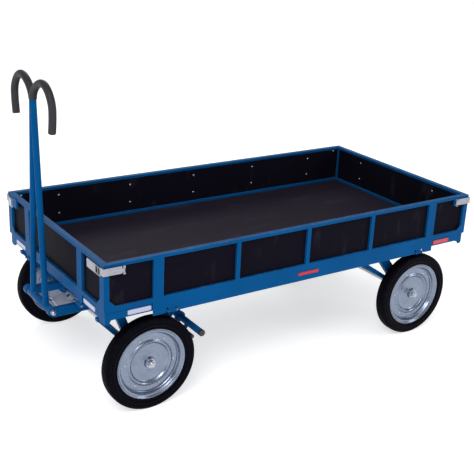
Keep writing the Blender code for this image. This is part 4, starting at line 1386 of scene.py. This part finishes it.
# %% Reflectors
STRIP_SIZE = 0.103, 0.020
STRIP_DEPTH = 0.0032
STRIP_Z = 0.467
CORNER_RADIUS = 0.0022
LIP, LIP_DEPTH = 0.0013, 0.0009
FIELD_DEPTH = 0.0013  # the prisms stand on a plane this far behind the tray's face
FIELD_MARGIN = 0.004
CELL = 0.0039
RAIL_INSET = 0.006  # the base frame's outer face stands this far behind the sides


def prism_rule():
    """A grid of low four-sided prisms over the strip that comes in."""
    rule = Rule("prism_field", {"Long": STRIP_SIZE[0], "High": STRIP_SIZE[1]})
    grid = {}
    for axis, label in (("X", "Long"), ("Y", "High")):
        length = rule.number(label)
        grid[f"Size {axis}"] = length - CELL
        grid[f"Vertices {axis}"] = length.math("FLOOR", length * (1 / CELL))
    field = rule.node("GeometryNodeMeshGrid", None, grid)
    prism = {"Vertices": 4, "Radius Bottom": CELL * 0.70, "Depth": 0.0009}
    prism = rule.node("GeometryNodeMeshCone", None, prism)
    spread = {"Points": field.outputs[0], "Instance": prism.outputs[0]}
    spread["Rotation"] = (0.0, 0.0, pi / 4)
    both = rule.node("GeometryNodeJoinGeometry")
    feed(rule.tree, both.inputs[0], rule.node("GeometryNodeInstanceOnPoints", None, spread))
    feed(rule.tree, both.inputs[0], rule.given["Geometry"])
    return rule.close(both)


def tray(length, height):
    """A thin strip with a raised lip round it, face towards +Z, its back at z = 0."""
    bm = bmesh.new()
    size = Matrix.Diagonal((length, height, STRIP_DEPTH, 1.0))
    shift = Matrix.Translation((0, 0, STRIP_DEPTH / 2))
    bmesh.ops.create_cube(bm, size=1.0, matrix=shift @ size)
    uprights = [e for e in bm.edges if abs(e.verts[0].co.z - e.verts[1].co.z) > STRIP_DEPTH / 2]
    bmesh.ops.bevel(bm, geom=uprights, offset=CORNER_RADIUS, segments=4, affect="EDGES")
    top = max(bm.faces, key=lambda face: face.calc_center_median().z)
    bmesh.ops.inset_region(bm, faces=[top], thickness=LIP, depth=0.0)
    bmesh.ops.inset_region(bm, faces=[top], thickness=0.0002, depth=-LIP_DEPTH)
    return closed(bm)


def strip(name, body, centre, out, size, finish, rule=None):
    """A strip on an upright face: its length runs along the face, and out is the way it looks."""
    mesh = tray(*size)
    if rule:
        lift = Matrix.Translation((0, 0, STRIP_DEPTH - FIELD_DEPTH))
        mesh.transform(lift.inverted())
        length, height = (measure - FIELD_MARGIN for measure in size)
        mesh = rule.apply(mesh, finish, Long=length, High=height)
        mesh.transform(lift)
    up = Vector((0, 0, 1))
    turn = Matrix((up.cross(out), up, out)).transposed().to_4x4()
    mesh.transform(Matrix.Translation(centre) @ turn)
    settle(name, mesh, finish, body, smooth=radians(20))


prisms = prism_rule()
for side, out in SIDE_WAYS.items():
    own = side.removesuffix("_side")
    if out.y:
        strips = (("front", -0.8245, white_prisms), ("rear", 0.8285, red_prisms))
    else:
        finish = white_prisms if out.x < 0 else red_prisms
        strips = (("near", -0.3585, finish), ("far", 0.3680, finish))
    for tag, along, finish in strips:
        place = on_wall(out, along, STRIP_Z, RAIL_INSET)
        strip(f"{own}_{tag}_reflector", "chassis", place, out, STRIP_SIZE, finish, prisms)

# %% [markdown]
# ## Red labels
# A small plain red label is stuck to the middle of each long apron. It carries no lettering here.

# %% Red labels
LABEL_SIZE = 0.111, 0.0135
LABEL_ALONG, LABEL_Z = 0.008, 0.4655
LABEL_RED = (0.44, 0.006, 0.018), (0.52, 0.012, 0.026)

label = Finish("plain_red_label")
fade = label.noise(0.020, 3.0)
label.set(Base_Color=label.blend(fade, *LABEL_RED), Roughness=0.35 + 0.1 * fade)
for side in ("near_side", "far_side"):
    out = SIDE_WAYS[side]
    place = on_wall(out, LABEL_ALONG, LABEL_Z, 0.0)
    strip(f"{side}_label", side, place, out, LABEL_SIZE, label.material)

# %% [markdown]
# ## Size
# The visual model has to fill the same box as the CAD model. For each corner, the difference between the
# two boxes is printed in mm.

# %% Size
visual_box = [list(corner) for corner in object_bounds()]
for end, a, b in zip(("low", "high"), cad_box, visual_box):
    print(end, "corner differs by", [round(1000 * (v - c), 1) for c, v in zip(a, b)], "mm")
